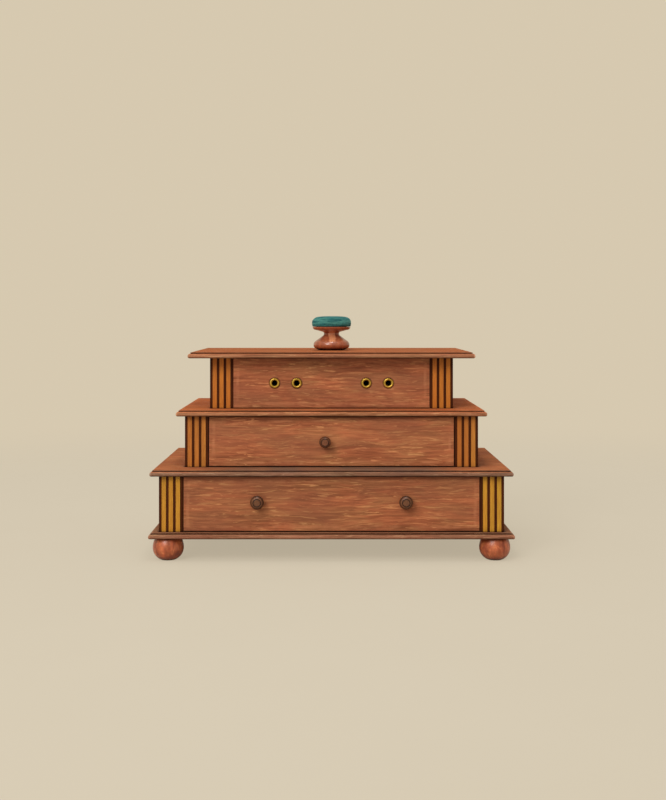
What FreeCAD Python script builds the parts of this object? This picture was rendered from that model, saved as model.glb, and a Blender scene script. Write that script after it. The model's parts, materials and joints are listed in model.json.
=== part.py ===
# Stepped sewing box: three storeys on ball feet, with two drawers, a spool compartment under a
# hinged lid, four thread eyelets and a pincushion on a turned stand.
# Millimetres. X runs to the right, the front faces -Y and +Z is up. The origin lies on the
# floor, in the middle of the box's whole width and depth.

import FreeCAD
import Part
import math
import os

Vector = FreeCAD.Vector

# Storeys: the bottom one, and how much each one above gives way at its ends and at its front
bottom_width = 289.0
bottom_depth = 168.0
storey_step = 19.5
bottom_height = 47.0
middle_height = 43.5
top_height = 44.0

# Boards, with how much the front edges of the drawer fronts and the top front panel are rounded
base_board_thickness = 5.0
shelf_thickness = 5.0
lid_thickness = 5.0
side_thickness = 6.0
back_thickness = 6.0
front_thickness = 8.0
front_edge_round = 0.8

# How far the plates stand out from the storey below them, and the moulding of their edges: a
# round above and one below, and a small step from the upper round to the plate's raised top
base_overhang = 8.0
shelf_overhang = 7.0
lid_overhang = 17.5
lid_rear_overhang = 8.0
nosing_top = 1.9
nosing_bottom = 1.6
nosing_step = 1.1
nosing_ledge = 0.3

# Corner posts: dark, with light slips let into their front faces
post_depth = 10.0
slip_width = 3.6
slip_depth = 3.0
slip_gap = 2.3
slip_count = 3

# Ball feet
foot_radius = 13.0
foot_height = 19.0
foot_widest_height = 10.0
foot_sole_radius = 6.0
foot_top_radius = 10.5
foot_inset = 15.0
foot_tenon_radius = 4.0

# Drawers
drawer_side_gap = 0.4
drawer_top_gap = 0.6
drawer_back_gap = 0.5
drawer_front_lift = 0.4
drawer_side_thickness = 5.0
drawer_side_drop = 2.0
drawer_back_thickness = 5.0
drawer_back_drop = 1.5
drawer_bottom_thickness = 3.0
drawer_bottom_lift = 4.0
drawer_groove_depth = 2.5
drawer_cheek = 3.0
guide_height = 10.0

# Knobs. The bottom drawer's sit a little over its middle, and the middle drawer's to its left.
bottom_knob_radius = 5.7
bottom_knob_spread = 124.0
bottom_knob_rise = 2.0
middle_knob_radius = 4.9
middle_knob_shift = -5.5
knob_reach = 10.0
knob_neck_radius = 2.9
knob_neck_length = 3.2
knob_ring_radius = 3.1
knob_ring_width = 0.75
knob_ring_depth = 0.7
knob_tenon_radius = 2.4

# Thread eyelets
eyelet_flange_radius = 4.5
eyelet_flange_height = 1.5
eyelet_rim_height = 0.5
eyelet_tube_radius = 3.0
eyelet_bore_radius = 2.3
eyelet_pair_gap = 60.4
eyelet_pitch = 19.2

# Spool pins
spool_pin_radius = 2.0
spool_pin_length = 33.0
spool_pin_round = 1.4
spool_pin_tenon_radius = 1.4
spool_pin_count = 4
spool_pitch = 42.0
spool_row_setback = 21.0

# Hinges, with how far their middles lie in from the top storey's ends
hinge_inset = 43.5
hinge_length = 24.0
hinge_middle_knuckle = 8.0
hinge_leaf_width = 11.0
hinge_leaf_thickness = 0.9
hinge_barrel_radius = 1.9
hinge_pin_radius = 0.85
hinge_screw_pitch = 14.0
hinge_screw_distance = 7.5

# Screws and brads, and the wood left over a screw's tip and over a tenon's end
screw_cover = 0.6
tenon_cover = 1.0
screw_radius = 0.8
screw_head_radius = 1.5
screw_head_depth = 0.7
screw_slot_width = 0.4
screw_slot_depth = 0.3
brad_radius = 0.6
brad_head_radius = 1.0
brad_head_height = 0.5
brad_length = 13.0
brad_inset = 11.0

# Pincushion stand, with the heights of its stretches from the lid up. A turned round runs in by
# a share of its height, so that it never turns under.
round_share = 0.94
stand_base_radius = 16.5
stand_neck_radius = 6.9
stand_rim_radius = 17.4
stand_base_height = 4.7
stand_waist_height = 10.5
stand_flare_height = 1.6
stand_slope_height = 1.7
stand_cup_height = 2.8
stand_sole_inset = 5.5
stand_belly_round = 3.6
stand_shoulder_round = 4.5
stand_waist_round = 2.5
stand_rim_wall = 4.4
stand_recess_depth = 1.2
stand_tenon_radius = 4.5

# Pincushion, with how far it draws in towards the rim
pad_radius = 17.9
pad_tuck = 0.9
pad_swell_height = 2.6
pad_crown_height = 6.8
pad_shoulder_share = 0.7

# Clearances
tenon_clearance = 0.05
groove_clearance = 0.1
bearing_clearance = 0.06
pin_clearance = 0.02
knuckle_gap = 0.2
mortise_gap = 0.15
barrel_relief = 0.3
soft_gap = 0.3
driven_clearance = 0.03

# Heights of the plates and storeys
base_z = foot_height
bottom_floor = base_z + base_board_thickness
lower_shelf_z = bottom_floor + bottom_height
middle_floor = lower_shelf_z + shelf_thickness
upper_shelf_z = middle_floor + middle_height
top_floor = upper_shelf_z + shelf_thickness
case_top = top_floor + top_height
lid_top = case_top + lid_thickness

# Depths: the knobs reach past the base board, and every storey's back lies in one plane
front_reach = max(base_overhang, knob_reach)
rear_reach = max(base_overhang, lid_rear_overhang)
back_y = (front_reach + bottom_depth + rear_reach) / 2 - rear_reach
inner_back = back_y - back_thickness

post_width = slip_count * slip_width + (slip_count + 1) * slip_gap
hinge_y = back_y + hinge_barrel_radius - hinge_leaf_thickness
hinge_z = case_top - hinge_barrel_radius + hinge_leaf_thickness
foot_tenon_length = base_board_thickness - tenon_cover
spool_pin_tenon_length = shelf_thickness - tenon_cover
stand_tenon_length = lid_thickness - tenon_cover
lid_screw_length = lid_thickness - screw_cover
case_screw_length = back_thickness - screw_cover

stand_neck_z = stand_base_height + stand_waist_height
stand_flare_z = stand_neck_z + stand_flare_height
stand_cup_z = stand_flare_z + stand_slope_height
stand_rim_z = stand_cup_z + stand_cup_height
stand_seat_z = stand_rim_z - stand_recess_depth

# How far a cut runs past the face that it opens, how near two planes are when they count as one,
# and the most of a wall that a fillet may take
spill = 1.0
flush = 1e-3
fillet_limit = 0.95


class Storey:
    """One storey of the case: a box between two plates, with a striped post at each front corner."""

    def __init__(self, name, level, floor, height):
        self.name = name
        self.floor = floor
        self.top = floor + height
        self.middle = floor + height / 2
        self.half = bottom_width / 2 - level * storey_step
        self.front = back_y - bottom_depth + level * storey_step
        self.opening_half = self.half - post_width


class Drawer:
    """The outer faces of the drawer that fills a storey's opening."""

    def __init__(self, storey):
        self.half = storey.opening_half - drawer_side_gap
        self.inner_half = self.half - drawer_side_thickness
        self.front = storey.front
        self.front_back = storey.front + front_thickness
        self.back = inner_back - drawer_back_gap
        self.foot = storey.floor
        self.top = storey.top - drawer_top_gap
        self.side_top = self.top - drawer_side_drop
        self.groove = storey.floor + drawer_bottom_lift
        self.floor = self.groove + drawer_bottom_thickness


bottom = Storey("bottom", 0, bottom_floor, bottom_height)
middle = Storey("middle", 1, middle_floor, middle_height)
top = Storey("top", 2, top_floor, top_height)


def box(x0, x1, y0, y1, z0, z1):
    return Part.makeBox(x1 - x0, y1 - y0, z1 - z0, Vector(x0, y0, z0))


def mirrored(shape):
    """The same shape on the other side of the box's middle plane."""
    return shape.mirror(Vector(0, 0, 0), Vector(1, 0, 0))


def on_side(shape, side):
    """A shape drawn on the right, put on the side asked for."""
    return mirrored(shape) if side == "left" else shape


def line(a, b):
    """A straight stretch of a turned outline, from one (radius, height) to another."""
    return Part.LineSegment(Vector(a[0], 0, a[1]), Vector(b[0], 0, b[1])).toShape()


def round_from(upright, end):
    """An arc of a turned outline that is upright at its first point and runs to its end point."""
    across = end[0] - upright[0]
    up = end[1] - upright[1]
    radius = (across * across + up * up) / (2 * across)
    centre = Vector(upright[0] + radius, 0, upright[1])
    start = Vector(upright[0], 0, upright[1])
    stop = Vector(end[0], 0, end[1])
    half_way = (start + stop) * 0.5 - centre
    half_way.normalize()
    return Part.Arc(start, centre + half_way * abs(radius), stop).toShape()


def undercut(sole, widest, rounding):
    """A straight slope outwards from a sole's edge, and an arc that turns it upright."""
    centre = Vector(widest[0] - rounding, 0, widest[1])
    between = Vector(sole[0], 0, sole[1]) - centre
    along = rounding / between.Length
    between.normalize()
    outwards = Vector(-between.z, 0, between.x)
    joint = centre + (between * along + outwards * math.sqrt(1 - along**2)) * rounding
    return [line(sole, (joint.x, joint.z)), round_from(widest, (joint.x, joint.z))]


def sloped(low, high, low_round, high_round):
    """An arc out of a low upright point, a straight slope inwards, and an arc into a high one."""
    low_centre = Vector(low[0] - low_round, 0, low[1])
    high_centre = Vector(high[0] + high_round, 0, high[1])
    between = high_centre - low_centre
    along = (low_round + high_round) / between.Length
    between.normalize()
    outwards = Vector(between.z, 0, -between.x)
    square = between * along + outwards * math.sqrt(1 - along**2)
    start = low_centre + square * low_round
    stop = high_centre - square * high_round
    return [
        round_from(low, (start.x, start.z)),
        line((start.x, start.z), (stop.x, stop.z)),
        round_from(high, (stop.x, stop.z)),
    ]


def flat_dome(edge, height, share):
    """A low crown from an upright edge to the axis: a small arc at the edge, and a wide one."""
    side = height * share
    wide = (edge[0] ** 2 + height**2 - 2 * edge[0] * side) / (2 * (height - side))
    side_centre = Vector(edge[0] - side, 0, edge[1])
    wide_centre = Vector(0, 0, edge[1] + height - wide)
    toward = side_centre - wide_centre
    toward.normalize()
    joint = wide_centre + toward * wide
    summit = Vector(0, 0, edge[1] + height)
    mid = (joint + summit) * 0.5 - wide_centre
    mid.normalize()
    shoulder = round_from(edge, (joint.x, joint.z))
    crown = Part.Arc(joint, wide_centre + mid * wide, summit).toShape()
    return [shoulder, crown]


def turned(edges):
    """The solid that an outline in radius and height makes about the Z axis."""
    wire = Part.Wire(Part.__sortEdges__(edges))
    return Part.Face(wire).revolve(Vector(0, 0, 0), Vector(0, 0, 1), 360)


def facing_front(shape, x, y, z):
    """A piece turned about Z, laid down so that its top faces -Y, with its foot at a place."""
    placed = shape.copy()
    placed.rotate(Vector(0, 0, 0), Vector(1, 0, 0), 90)
    placed.translate(Vector(x, y, z))
    return placed


def eased_front(board, front):
    """A board with the edges of its front face slightly rounded."""
    edges = [e for e in board.Edges if e.BoundBox.YMax < front + flush]
    return board.makeFillet(front_edge_round, edges)


def moulded_plate(half, front, back, z, thickness):
    """A plate with a moulded edge all round, mitred at its corners: two rounds and a step."""
    fit = min(1.0, fillet_limit * thickness / (nosing_top + nosing_bottom + nosing_step))
    plate = box(-half, half, front, back, z, z + thickness - nosing_step * fit)
    upper = [e for e in plate.Edges if e.BoundBox.ZMin > z + thickness / 2]
    plate = plate.makeFillet(nosing_top * fit, upper)
    lower = [e for e in plate.Edges if e.BoundBox.ZMax < z + flush]
    plate = plate.makeFillet(nosing_bottom * fit, lower)
    inset = nosing_top * fit + nosing_ledge
    raised = box(-half + inset, half - inset, front + inset, back - inset, z + thickness / 2, z + thickness)
    return plate.fuse(raised)


def brad(head, direction, grow=0.0):
    """A brad driven in from a face. With a growth, the hole that it fills."""
    shank = Part.makeCylinder(brad_radius + grow, brad_length + grow, head, direction)
    cap = Part.makeCylinder(brad_head_radius + grow, brad_head_height, head, direction)
    return shank.fuse(cap)


def screw(head, direction, length, grow=0.0):
    """A countersunk screw whose head is flush with a face. With a growth, the hole for it."""
    cone = Part.makeCone(screw_head_radius + grow, screw_radius + grow, screw_head_depth, head, direction)
    shank = Part.makeCylinder(screw_radius + grow, length + grow, head, direction)
    return cone.fuse(shank)


def slotted(driven, head, direction):
    """A screw with its slot, which runs along X."""
    reach = screw_head_radius + spill
    up = direction.cross(Vector(1, 0, 0))
    corner = head - Vector(reach, 0, 0) - up * (screw_slot_width / 2)
    base = Part.makePolygon([
        corner,
        corner + Vector(2 * reach, 0, 0),
        corner + Vector(2 * reach, 0, 0) + up * screw_slot_width,
        corner + up * screw_slot_width,
        corner,
    ])
    return driven.cut(Part.Face(base).extrude(direction * screw_slot_depth))


def foot_places():
    """The four feet's names and the places of their axes."""
    x = bottom.half + base_overhang - foot_inset
    front = bottom.front - base_overhang + foot_inset
    rear = back_y + base_overhang - foot_inset
    return {
        "front_left": (-x, front),
        "front_right": (x, front),
        "rear_left": (-x, rear),
        "rear_right": (x, rear),
    }


def foot():
    """A flattened ball with a sole, and a tenon for the base board."""
    widest = (foot_radius, foot_widest_height)
    tenon_top = foot_height + foot_tenon_length
    return turned([
        line((0, 0), (foot_sole_radius, 0)),
        round_from(widest, (foot_sole_radius, 0)),
        round_from(widest, (foot_top_radius, foot_height)),
        line((foot_top_radius, foot_height), (foot_tenon_radius, foot_height)),
        line((foot_tenon_radius, foot_height), (foot_tenon_radius, tenon_top)),
        line((foot_tenon_radius, tenon_top), (0, tenon_top)),
        line((0, tenon_top), (0, 0)),
    ])


def base_board():
    """The moulded board under the case, with a blind socket for each foot's tenon."""
    board = moulded_plate(
        bottom.half + base_overhang,
        bottom.front - base_overhang,
        back_y + base_overhang,
        base_z,
        base_board_thickness,
    )
    radius = foot_tenon_radius + tenon_clearance
    depth = foot_tenon_length + tenon_clearance
    for x, y in foot_places().values():
        board = board.cut(Part.makeCylinder(radius, depth, Vector(x, y, base_z)))
    return board


def shelf(storey, z):
    """The moulded plate over a storey."""
    return moulded_plate(
        storey.half + shelf_overhang,
        storey.front - shelf_overhang,
        back_y + shelf_overhang,
        z,
        shelf_thickness,
    )


def slip_bars(storey, front):
    """The right-hand post's light slips, side by side, from a front plane back into the post."""
    bars = []
    for i in range(slip_count):
        outer = storey.half - slip_gap - i * (slip_width + slip_gap)
        back = storey.front + slip_depth
        bars.append(box(outer - slip_width, outer, front, back, storey.floor, storey.top))
    return bars


def post(storey):
    """The right-hand corner post, grooved for its slips."""
    back = storey.front + post_depth
    shape = box(storey.opening_half, storey.half, storey.front, back, storey.floor, storey.top)
    for groove in slip_bars(storey, storey.front - spill):
        shape = shape.cut(groove)
    return shape


def back_brad_heads(storey):
    """Where the brads go through a back board into the ends of the side boards."""
    x = storey.half - side_thickness / 2
    heights = (storey.floor + brad_inset, storey.top - brad_inset)
    return [Vector(side * x, back_y, z) for side in (-1, 1) for z in heights]


def with_brad_holes(shape, heads, direction):
    for head in heads:
        shape = shape.cut(brad(head, direction, driven_clearance))
    return shape


def side_board(storey):
    """The right-hand side board, from the post to the back board."""
    front = storey.front + post_depth
    outer = storey.half
    board = box(outer - side_thickness, outer, front, inner_back, storey.floor, storey.top)
    heads = [head for head in back_brad_heads(storey) if head.x > 0]
    return with_brad_holes(board, heads, Vector(0, -1, 0))


def back_board(storey):
    """The board that closes a storey's back and covers the ends of its side boards."""
    board = box(-storey.half, storey.half, inner_back, back_y, storey.floor, storey.top)
    return with_brad_holes(board, back_brad_heads(storey), Vector(0, -1, 0))


def drawer_guides(storey):
    """A strip on each side that keeps the drawer straight behind the posts."""
    front = storey.front + post_depth
    outer = storey.half - side_thickness
    strip = box(storey.opening_half, outer, front, inner_back, storey.floor, storey.floor + guide_height)
    return Part.makeCompound([mirrored(strip), strip])


def drawer_brad_heads(drawer):
    """Where the brads go through the right-hand drawer side into the front and the back."""
    into_front = drawer.front + (drawer_cheek + front_thickness) / 2
    into_back = drawer.back - drawer_back_thickness / 2
    heights = (drawer.foot + brad_inset, drawer.side_top - brad_inset)
    return [Vector(drawer.half, y, z) for y in (into_front, into_back) for z in heights]


def with_drawer_brad_holes(drawer, shape):
    """A board with the holes of the brads on both sides of its drawer."""
    for head in drawer_brad_heads(drawer):
        hole = brad(head, Vector(-1, 0, 0), driven_clearance)
        shape = shape.cut(hole).cut(mirrored(hole))
    return shape


def drawer_front(drawer, knob_places):
    """A front with a rebate at each end for the sides, a groove for the bottom, and knob holes."""
    foot_z = drawer.foot + drawer_front_lift
    board = box(-drawer.half, drawer.half, drawer.front, drawer.front_back, foot_z, drawer.top)
    board = eased_front(board, drawer.front)
    rebate = box(
        drawer.inner_half,
        drawer.half + spill,
        drawer.front + drawer_cheek,
        drawer.front_back + spill,
        foot_z - spill,
        drawer.top + spill,
    )
    groove = box(
        -drawer.inner_half,
        drawer.inner_half,
        drawer.front_back - drawer_groove_depth,
        drawer.front_back + spill,
        drawer.groove,
        drawer.floor + groove_clearance,
    )
    board = board.cut(rebate).cut(mirrored(rebate)).cut(groove)
    for x, z in knob_places:
        start = Vector(x, drawer.front - spill, z)
        depth = front_thickness + 2 * spill
        hole = Part.makeCylinder(knob_tenon_radius + tenon_clearance, depth, start, Vector(0, 1, 0))
        board = board.cut(hole)
    return with_drawer_brad_holes(drawer, board)


def drawer_side(drawer):
    """The right-hand drawer side, which runs on the board below, with a groove for the bottom."""
    front = drawer.front + drawer_cheek
    board = box(drawer.inner_half, drawer.half, front, drawer.back, drawer.foot, drawer.side_top)
    groove = box(
        drawer.inner_half - spill,
        drawer.inner_half + drawer_groove_depth,
        front - spill,
        drawer.back + spill,
        drawer.groove,
        drawer.floor + groove_clearance,
    )
    return with_drawer_brad_holes(drawer, board.cut(groove))


def drawer_back(drawer):
    """The back of a drawer. It stands on the bottom, between the sides."""
    front = drawer.back - drawer_back_thickness
    top_z = drawer.side_top - drawer_back_drop
    board = box(-drawer.inner_half, drawer.inner_half, front, drawer.back, drawer.floor, top_z)
    return with_drawer_brad_holes(drawer, board)


def drawer_bottom(drawer):
    """A thin board held in the grooves of the front and the sides."""
    half = drawer.inner_half + drawer_groove_depth - groove_clearance
    front = drawer.front_back - drawer_groove_depth + groove_clearance
    return box(-half, half, front, drawer.back, drawer.groove, drawer.floor)


def drawer_brads(drawer):
    rights = [brad(head, Vector(-1, 0, 0)) for head in drawer_brad_heads(drawer)]
    return Part.makeCompound([mirrored(one) for one in rights] + rights)


def knob(radius, drawer, x, z):
    """A turned knob with a ring cut in its face, and a tenon through the drawer front."""
    widest_z = (knob_neck_length + knob_reach) / 2
    ring_outer = knob_ring_radius + knob_ring_width / 2
    ring_inner = knob_ring_radius - knob_ring_width / 2
    ring_z = knob_reach - knob_ring_depth
    shape = turned([
        line((0, -front_thickness), (knob_tenon_radius, -front_thickness)),
        line((knob_tenon_radius, -front_thickness), (knob_tenon_radius, 0)),
        line((knob_tenon_radius, 0), (knob_neck_radius, 0)),
        line((knob_neck_radius, 0), (knob_neck_radius, knob_neck_length)),
        round_from((radius, widest_z), (knob_neck_radius, knob_neck_length)),
        round_from((radius, widest_z), (ring_outer, knob_reach)),
        line((ring_outer, knob_reach), (ring_outer, ring_z)),
        line((ring_outer, ring_z), (ring_inner, ring_z)),
        line((ring_inner, ring_z), (ring_inner, knob_reach)),
        line((ring_inner, knob_reach), (0, knob_reach)),
        line((0, knob_reach), (0, -front_thickness)),
    ])
    return facing_front(shape, x, drawer.front, z)


def eyelet_places():
    """The eyelets' places along the front, in two pairs."""
    near = eyelet_pair_gap / 2
    return [-near - eyelet_pitch, -near, near, near + eyelet_pitch]


def eyelet():
    """A flanged bush whose face is one rounded bead around the bore."""
    bead_half = (eyelet_flange_radius - eyelet_bore_radius) / 2
    crest = Vector(eyelet_bore_radius + bead_half, 0, eyelet_flange_height)
    outer = Vector(eyelet_flange_radius, 0, eyelet_rim_height)
    inner = Vector(eyelet_bore_radius, 0, eyelet_rim_height)
    return turned([
        line((eyelet_bore_radius, -front_thickness), (eyelet_tube_radius, -front_thickness)),
        line((eyelet_tube_radius, -front_thickness), (eyelet_tube_radius, 0)),
        line((eyelet_tube_radius, 0), (eyelet_flange_radius, 0)),
        line((eyelet_flange_radius, 0), (eyelet_flange_radius, eyelet_rim_height)),
        Part.Arc(outer, crest, inner).toShape(),
        line((eyelet_bore_radius, eyelet_rim_height), (eyelet_bore_radius, -front_thickness)),
    ])


def thread_eyelets():
    places = eyelet_places()
    return Part.makeCompound([facing_front(eyelet(), x, top.front, top.middle) for x in places])


def top_front_panel():
    """The fixed front of the top storey, with a hole for each eyelet."""
    half = top.opening_half
    panel = box(-half, half, top.front, top.front + front_thickness, top.floor, top.top)
    panel = eased_front(panel, top.front)
    depth = front_thickness + 2 * spill
    for x in eyelet_places():
        start = Vector(x, top.front - spill, top.middle)
        hole = Part.makeCylinder(eyelet_tube_radius + tenon_clearance, depth, start, Vector(0, 1, 0))
        panel = panel.cut(hole)
    return panel


def spool_pin_places():
    """The spool pins' axes: one row behind the eyelets."""
    first = -spool_pitch * (spool_pin_count - 1) / 2
    y = top.front + post_depth + spool_row_setback
    return [(first + i * spool_pitch, y) for i in range(spool_pin_count)]


def spool_pins():
    """Upright pins with rounded tops. They stand on the shelf, and their tenons are let into it."""
    pins = []
    for x, y in spool_pin_places():
        pin = Part.makeCylinder(spool_pin_radius, spool_pin_length, Vector(x, y, top.floor))
        rim = [e for e in pin.Edges if e.BoundBox.ZMin > top.floor + spool_pin_length / 2]
        pin = pin.makeFillet(min(spool_pin_round, fillet_limit * spool_pin_radius), rim)
        foot_z = top.floor - spool_pin_tenon_length
        tenon = Part.makeCylinder(spool_pin_tenon_radius, spool_pin_tenon_length, Vector(x, y, foot_z))
        pins.append(pin.fuse(tenon))
    return Part.makeCompound(pins)


def upper_shelf():
    """The plate over the middle storey, with a blind hole for each spool pin."""
    plate = shelf(middle, upper_shelf_z)
    radius = spool_pin_tenon_radius + tenon_clearance
    depth = spool_pin_tenon_length + tenon_clearance
    for x, y in spool_pin_places():
        plate = plate.cut(Part.makeCylinder(radius, depth, Vector(x, y, top.floor - depth)))
    return plate


def hinge_span(x, gap=0.0):
    """The ends of a hinge along X, widened by a gap."""
    return x - hinge_length / 2 - gap, x + hinge_length / 2 + gap


def barrel(start, end, radius):
    """A stretch of a cylinder about the hinge's axis."""
    return Part.makeCylinder(radius, end - start, Vector(start, hinge_y, hinge_z), Vector(1, 0, 0))


def case_screw_heads(x):
    z = hinge_z - hinge_screw_distance
    return [Vector(x + side * hinge_screw_pitch / 2, back_y, z) for side in (-1, 1)]


def lid_screw_heads(x):
    y = hinge_y - hinge_screw_distance
    return [Vector(x + side * hinge_screw_pitch / 2, y, case_top) for side in (-1, 1)]


def case_leaf(x):
    """The hinge leaf let into the case's back, with the two outer knuckles."""
    start, end = hinge_span(x)
    leaf = box(start, end, back_y - hinge_leaf_thickness, back_y, hinge_z - hinge_leaf_width, hinge_z)
    leaf = leaf.fuse(barrel(start, end, hinge_barrel_radius))
    room = hinge_middle_knuckle / 2 + knuckle_gap
    reach = hinge_barrel_radius + knuckle_gap
    middle_room = box(
        x - room,
        x + room,
        hinge_y - reach - spill,
        hinge_y + reach,
        hinge_z - reach,
        hinge_z + reach,
    )
    leaf = leaf.cut(middle_room)
    leaf = leaf.cut(barrel(start - spill, end + spill, hinge_pin_radius + pin_clearance))
    for head in case_screw_heads(x):
        leaf = leaf.cut(screw(head, Vector(0, -1, 0), case_screw_length, driven_clearance))
    return leaf


def lid_leaf(x):
    """The hinge leaf let into the lid's underside, with the middle knuckle."""
    start, end = hinge_span(x)
    knuckle_start = x - hinge_middle_knuckle / 2
    knuckle_end = x + hinge_middle_knuckle / 2
    leaf_top = case_top + hinge_leaf_thickness
    leaf = box(start, end, hinge_y - hinge_leaf_width, hinge_y, case_top, leaf_top)
    reach = hinge_barrel_radius + knuckle_gap
    for a, b in ((start - spill, knuckle_start), (knuckle_end, end + spill)):
        leaf = leaf.cut(box(a, b, hinge_y - reach, hinge_y + reach, case_top - spill, leaf_top + spill))
    leaf = leaf.fuse(barrel(knuckle_start, knuckle_end, hinge_barrel_radius))
    leaf = leaf.cut(barrel(start - spill, end + spill, hinge_pin_radius + bearing_clearance))
    for head in lid_screw_heads(x):
        leaf = leaf.cut(screw(head, Vector(0, 0, 1), lid_screw_length, driven_clearance))
    return leaf


def case_mortise(x):
    """What is cut from the case's back for a hinge: the leaf's bed, deeper beside the barrel."""
    start, end = hinge_span(x, mortise_gap)
    bed = back_y - hinge_leaf_thickness
    foot_z = hinge_z - hinge_leaf_width - mortise_gap
    leaf_bed = box(start, end, bed, back_y + spill, foot_z, case_top + spill)
    barrel_z = hinge_z - hinge_barrel_radius - barrel_relief
    barrel_bed = box(start, end, bed - barrel_relief, back_y + spill, barrel_z, case_top + spill)
    return leaf_bed.fuse(barrel_bed)


def lid_mortise(x):
    """What is cut from the lid's underside for a hinge: the leaf's bed, deeper over the barrel."""
    start, end = hinge_span(x, mortise_gap)
    bed = case_top + hinge_leaf_thickness
    front = hinge_y - hinge_leaf_width - mortise_gap
    rear = hinge_y + hinge_barrel_radius + barrel_relief
    barrel_front = hinge_y - hinge_barrel_radius - barrel_relief
    leaf_bed = box(start, end, front, rear, case_top - spill, bed)
    barrel_bed = box(start, end, barrel_front, rear, case_top - spill, bed + barrel_relief)
    return leaf_bed.fuse(barrel_bed)


def hinge_places():
    x = top.half - hinge_inset
    return {"left": -x, "right": x}


def top_back_board():
    """The top storey's back board, with a bed and screw holes for each hinge."""
    board = back_board(top)
    for x in hinge_places().values():
        board = board.cut(case_mortise(x))
        for head in case_screw_heads(x):
            board = board.cut(screw(head, Vector(0, -1, 0), case_screw_length, driven_clearance))
    return board


def hinge_pins():
    """The two hinge pins, as long as their hinges."""
    return Part.makeCompound([
        barrel(*hinge_span(x), hinge_pin_radius) for x in hinge_places().values()
    ])


def hinge_case_screws():
    down = Vector(0, -1, 0)
    heads = [head for x in hinge_places().values() for head in case_screw_heads(x)]
    return Part.makeCompound([slotted(screw(h, down, case_screw_length), h, down) for h in heads])


def hinge_lid_screws():
    up = Vector(0, 0, 1)
    heads = [head for x in hinge_places().values() for head in lid_screw_heads(x)]
    return Part.makeCompound([slotted(screw(h, up, lid_screw_length), h, up) for h in heads])


def stand_y():
    """The pincushion stands in the middle of the lid."""
    return (top.front - lid_overhang + back_y + lid_rear_overhang) / 2


def lid_board():
    """The lid, with beds for its hinges and a blind socket for the pincushion stand."""
    board = moulded_plate(
        top.half + lid_overhang,
        top.front - lid_overhang,
        back_y + lid_rear_overhang,
        case_top,
        lid_thickness,
    )
    for x in hinge_places().values():
        board = board.cut(lid_mortise(x))
        for head in lid_screw_heads(x):
            board = board.cut(screw(head, Vector(0, 0, 1), lid_screw_length, driven_clearance))
    depth = stand_tenon_length + tenon_clearance
    radius = stand_tenon_radius + tenon_clearance
    return board.cut(Part.makeCylinder(radius, depth, Vector(0, stand_y(), lid_top - depth)))


def pincushion_stand():
    """A turned stand: a bell-shaped foot, a neck and a round cup, with a tenon for the lid."""
    sole = (stand_base_radius - stand_sole_inset, 0)
    widest = (stand_base_radius, stand_base_height)
    neck = (stand_neck_radius, stand_neck_z)
    flare = (stand_neck_radius + round_share * stand_flare_height, stand_flare_z)
    cup = (stand_rim_radius - round_share * stand_cup_height, stand_cup_z)
    rim = (stand_rim_radius, stand_rim_z)
    recess_radius = stand_rim_radius - stand_rim_wall
    shape = turned(
        [
            line((0, -stand_tenon_length), (stand_tenon_radius, -stand_tenon_length)),
            line((stand_tenon_radius, -stand_tenon_length), (stand_tenon_radius, 0)),
            line((stand_tenon_radius, 0), sole),
        ]
        + undercut(sole, widest, stand_belly_round)
        + sloped(widest, neck, stand_shoulder_round, stand_waist_round)
        + [
            round_from(neck, flare),
            line(flare, cup),
            round_from(rim, cup),
            line(rim, (recess_radius, stand_rim_z)),
            line((recess_radius, stand_rim_z), (recess_radius, stand_seat_z)),
            line((recess_radius, stand_seat_z), (0, stand_seat_z)),
            line((0, stand_seat_z), (0, -stand_tenon_length)),
        ]
    )
    shape.translate(Vector(0, stand_y(), lid_top))
    return shape


def pincushion_pad():
    """A round pad: flat where it is glued in the cup, drawn in at the rim, swelling and crowned."""
    seat_radius = stand_rim_radius - stand_rim_wall - soft_gap
    waist_z = stand_rim_z + soft_gap
    under_radius = max(seat_radius, pad_radius - pad_tuck)
    widest = (pad_radius, waist_z + pad_swell_height)
    edges = [
        line((0, stand_seat_z), (seat_radius, stand_seat_z)),
        line((seat_radius, stand_seat_z), (seat_radius, waist_z)),
        round_from(widest, (under_radius, waist_z)),
        line((0, widest[1] + pad_crown_height), (0, stand_seat_z)),
    ]
    if under_radius > seat_radius:
        edges.append(line((seat_radius, waist_z), (under_radius, waist_z)))
    shape = turned(edges + flat_dome(widest, pad_crown_height, pad_shoulder_share))
    shape.translate(Vector(0, stand_y(), lid_top))
    return shape


def foot_nodes():
    nodes = {}
    for name, (x, y) in foot_places().items():
        piece = foot()
        piece.translate(Vector(x, y, 0))
        nodes["foot_" + name] = piece
    return nodes


def storey_nodes(storey):
    """The side boards, posts and slips that every storey has."""
    nodes = {}
    for side in ("left", "right"):
        nodes[f"{storey.name}_side_{side}"] = on_side(side_board(storey), side)
        nodes[f"{storey.name}_post_{side}"] = on_side(post(storey), side)
        light = Part.makeCompound(slip_bars(storey, storey.front))
        nodes[f"{storey.name}_slips_{side}"] = on_side(light, side)
    return nodes


def drawer_nodes(storey, knobs):
    """A drawer's pieces. The knobs are a name, a radius and a place on the front each."""
    drawer = Drawer(storey)
    name = storey.name + "_drawer"
    nodes = {
        name + "_front": drawer_front(drawer, [place for _, _, place in knobs]),
        name + "_back": drawer_back(drawer),
        name + "_bottom": drawer_bottom(drawer),
        name + "_brads": drawer_brads(drawer),
    }
    for side in ("left", "right"):
        nodes[f"{name}_side_{side}"] = on_side(drawer_side(drawer), side)
    for knob_name, radius, place in knobs:
        nodes[knob_name] = knob(radius, drawer, *place)
    return nodes


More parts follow.
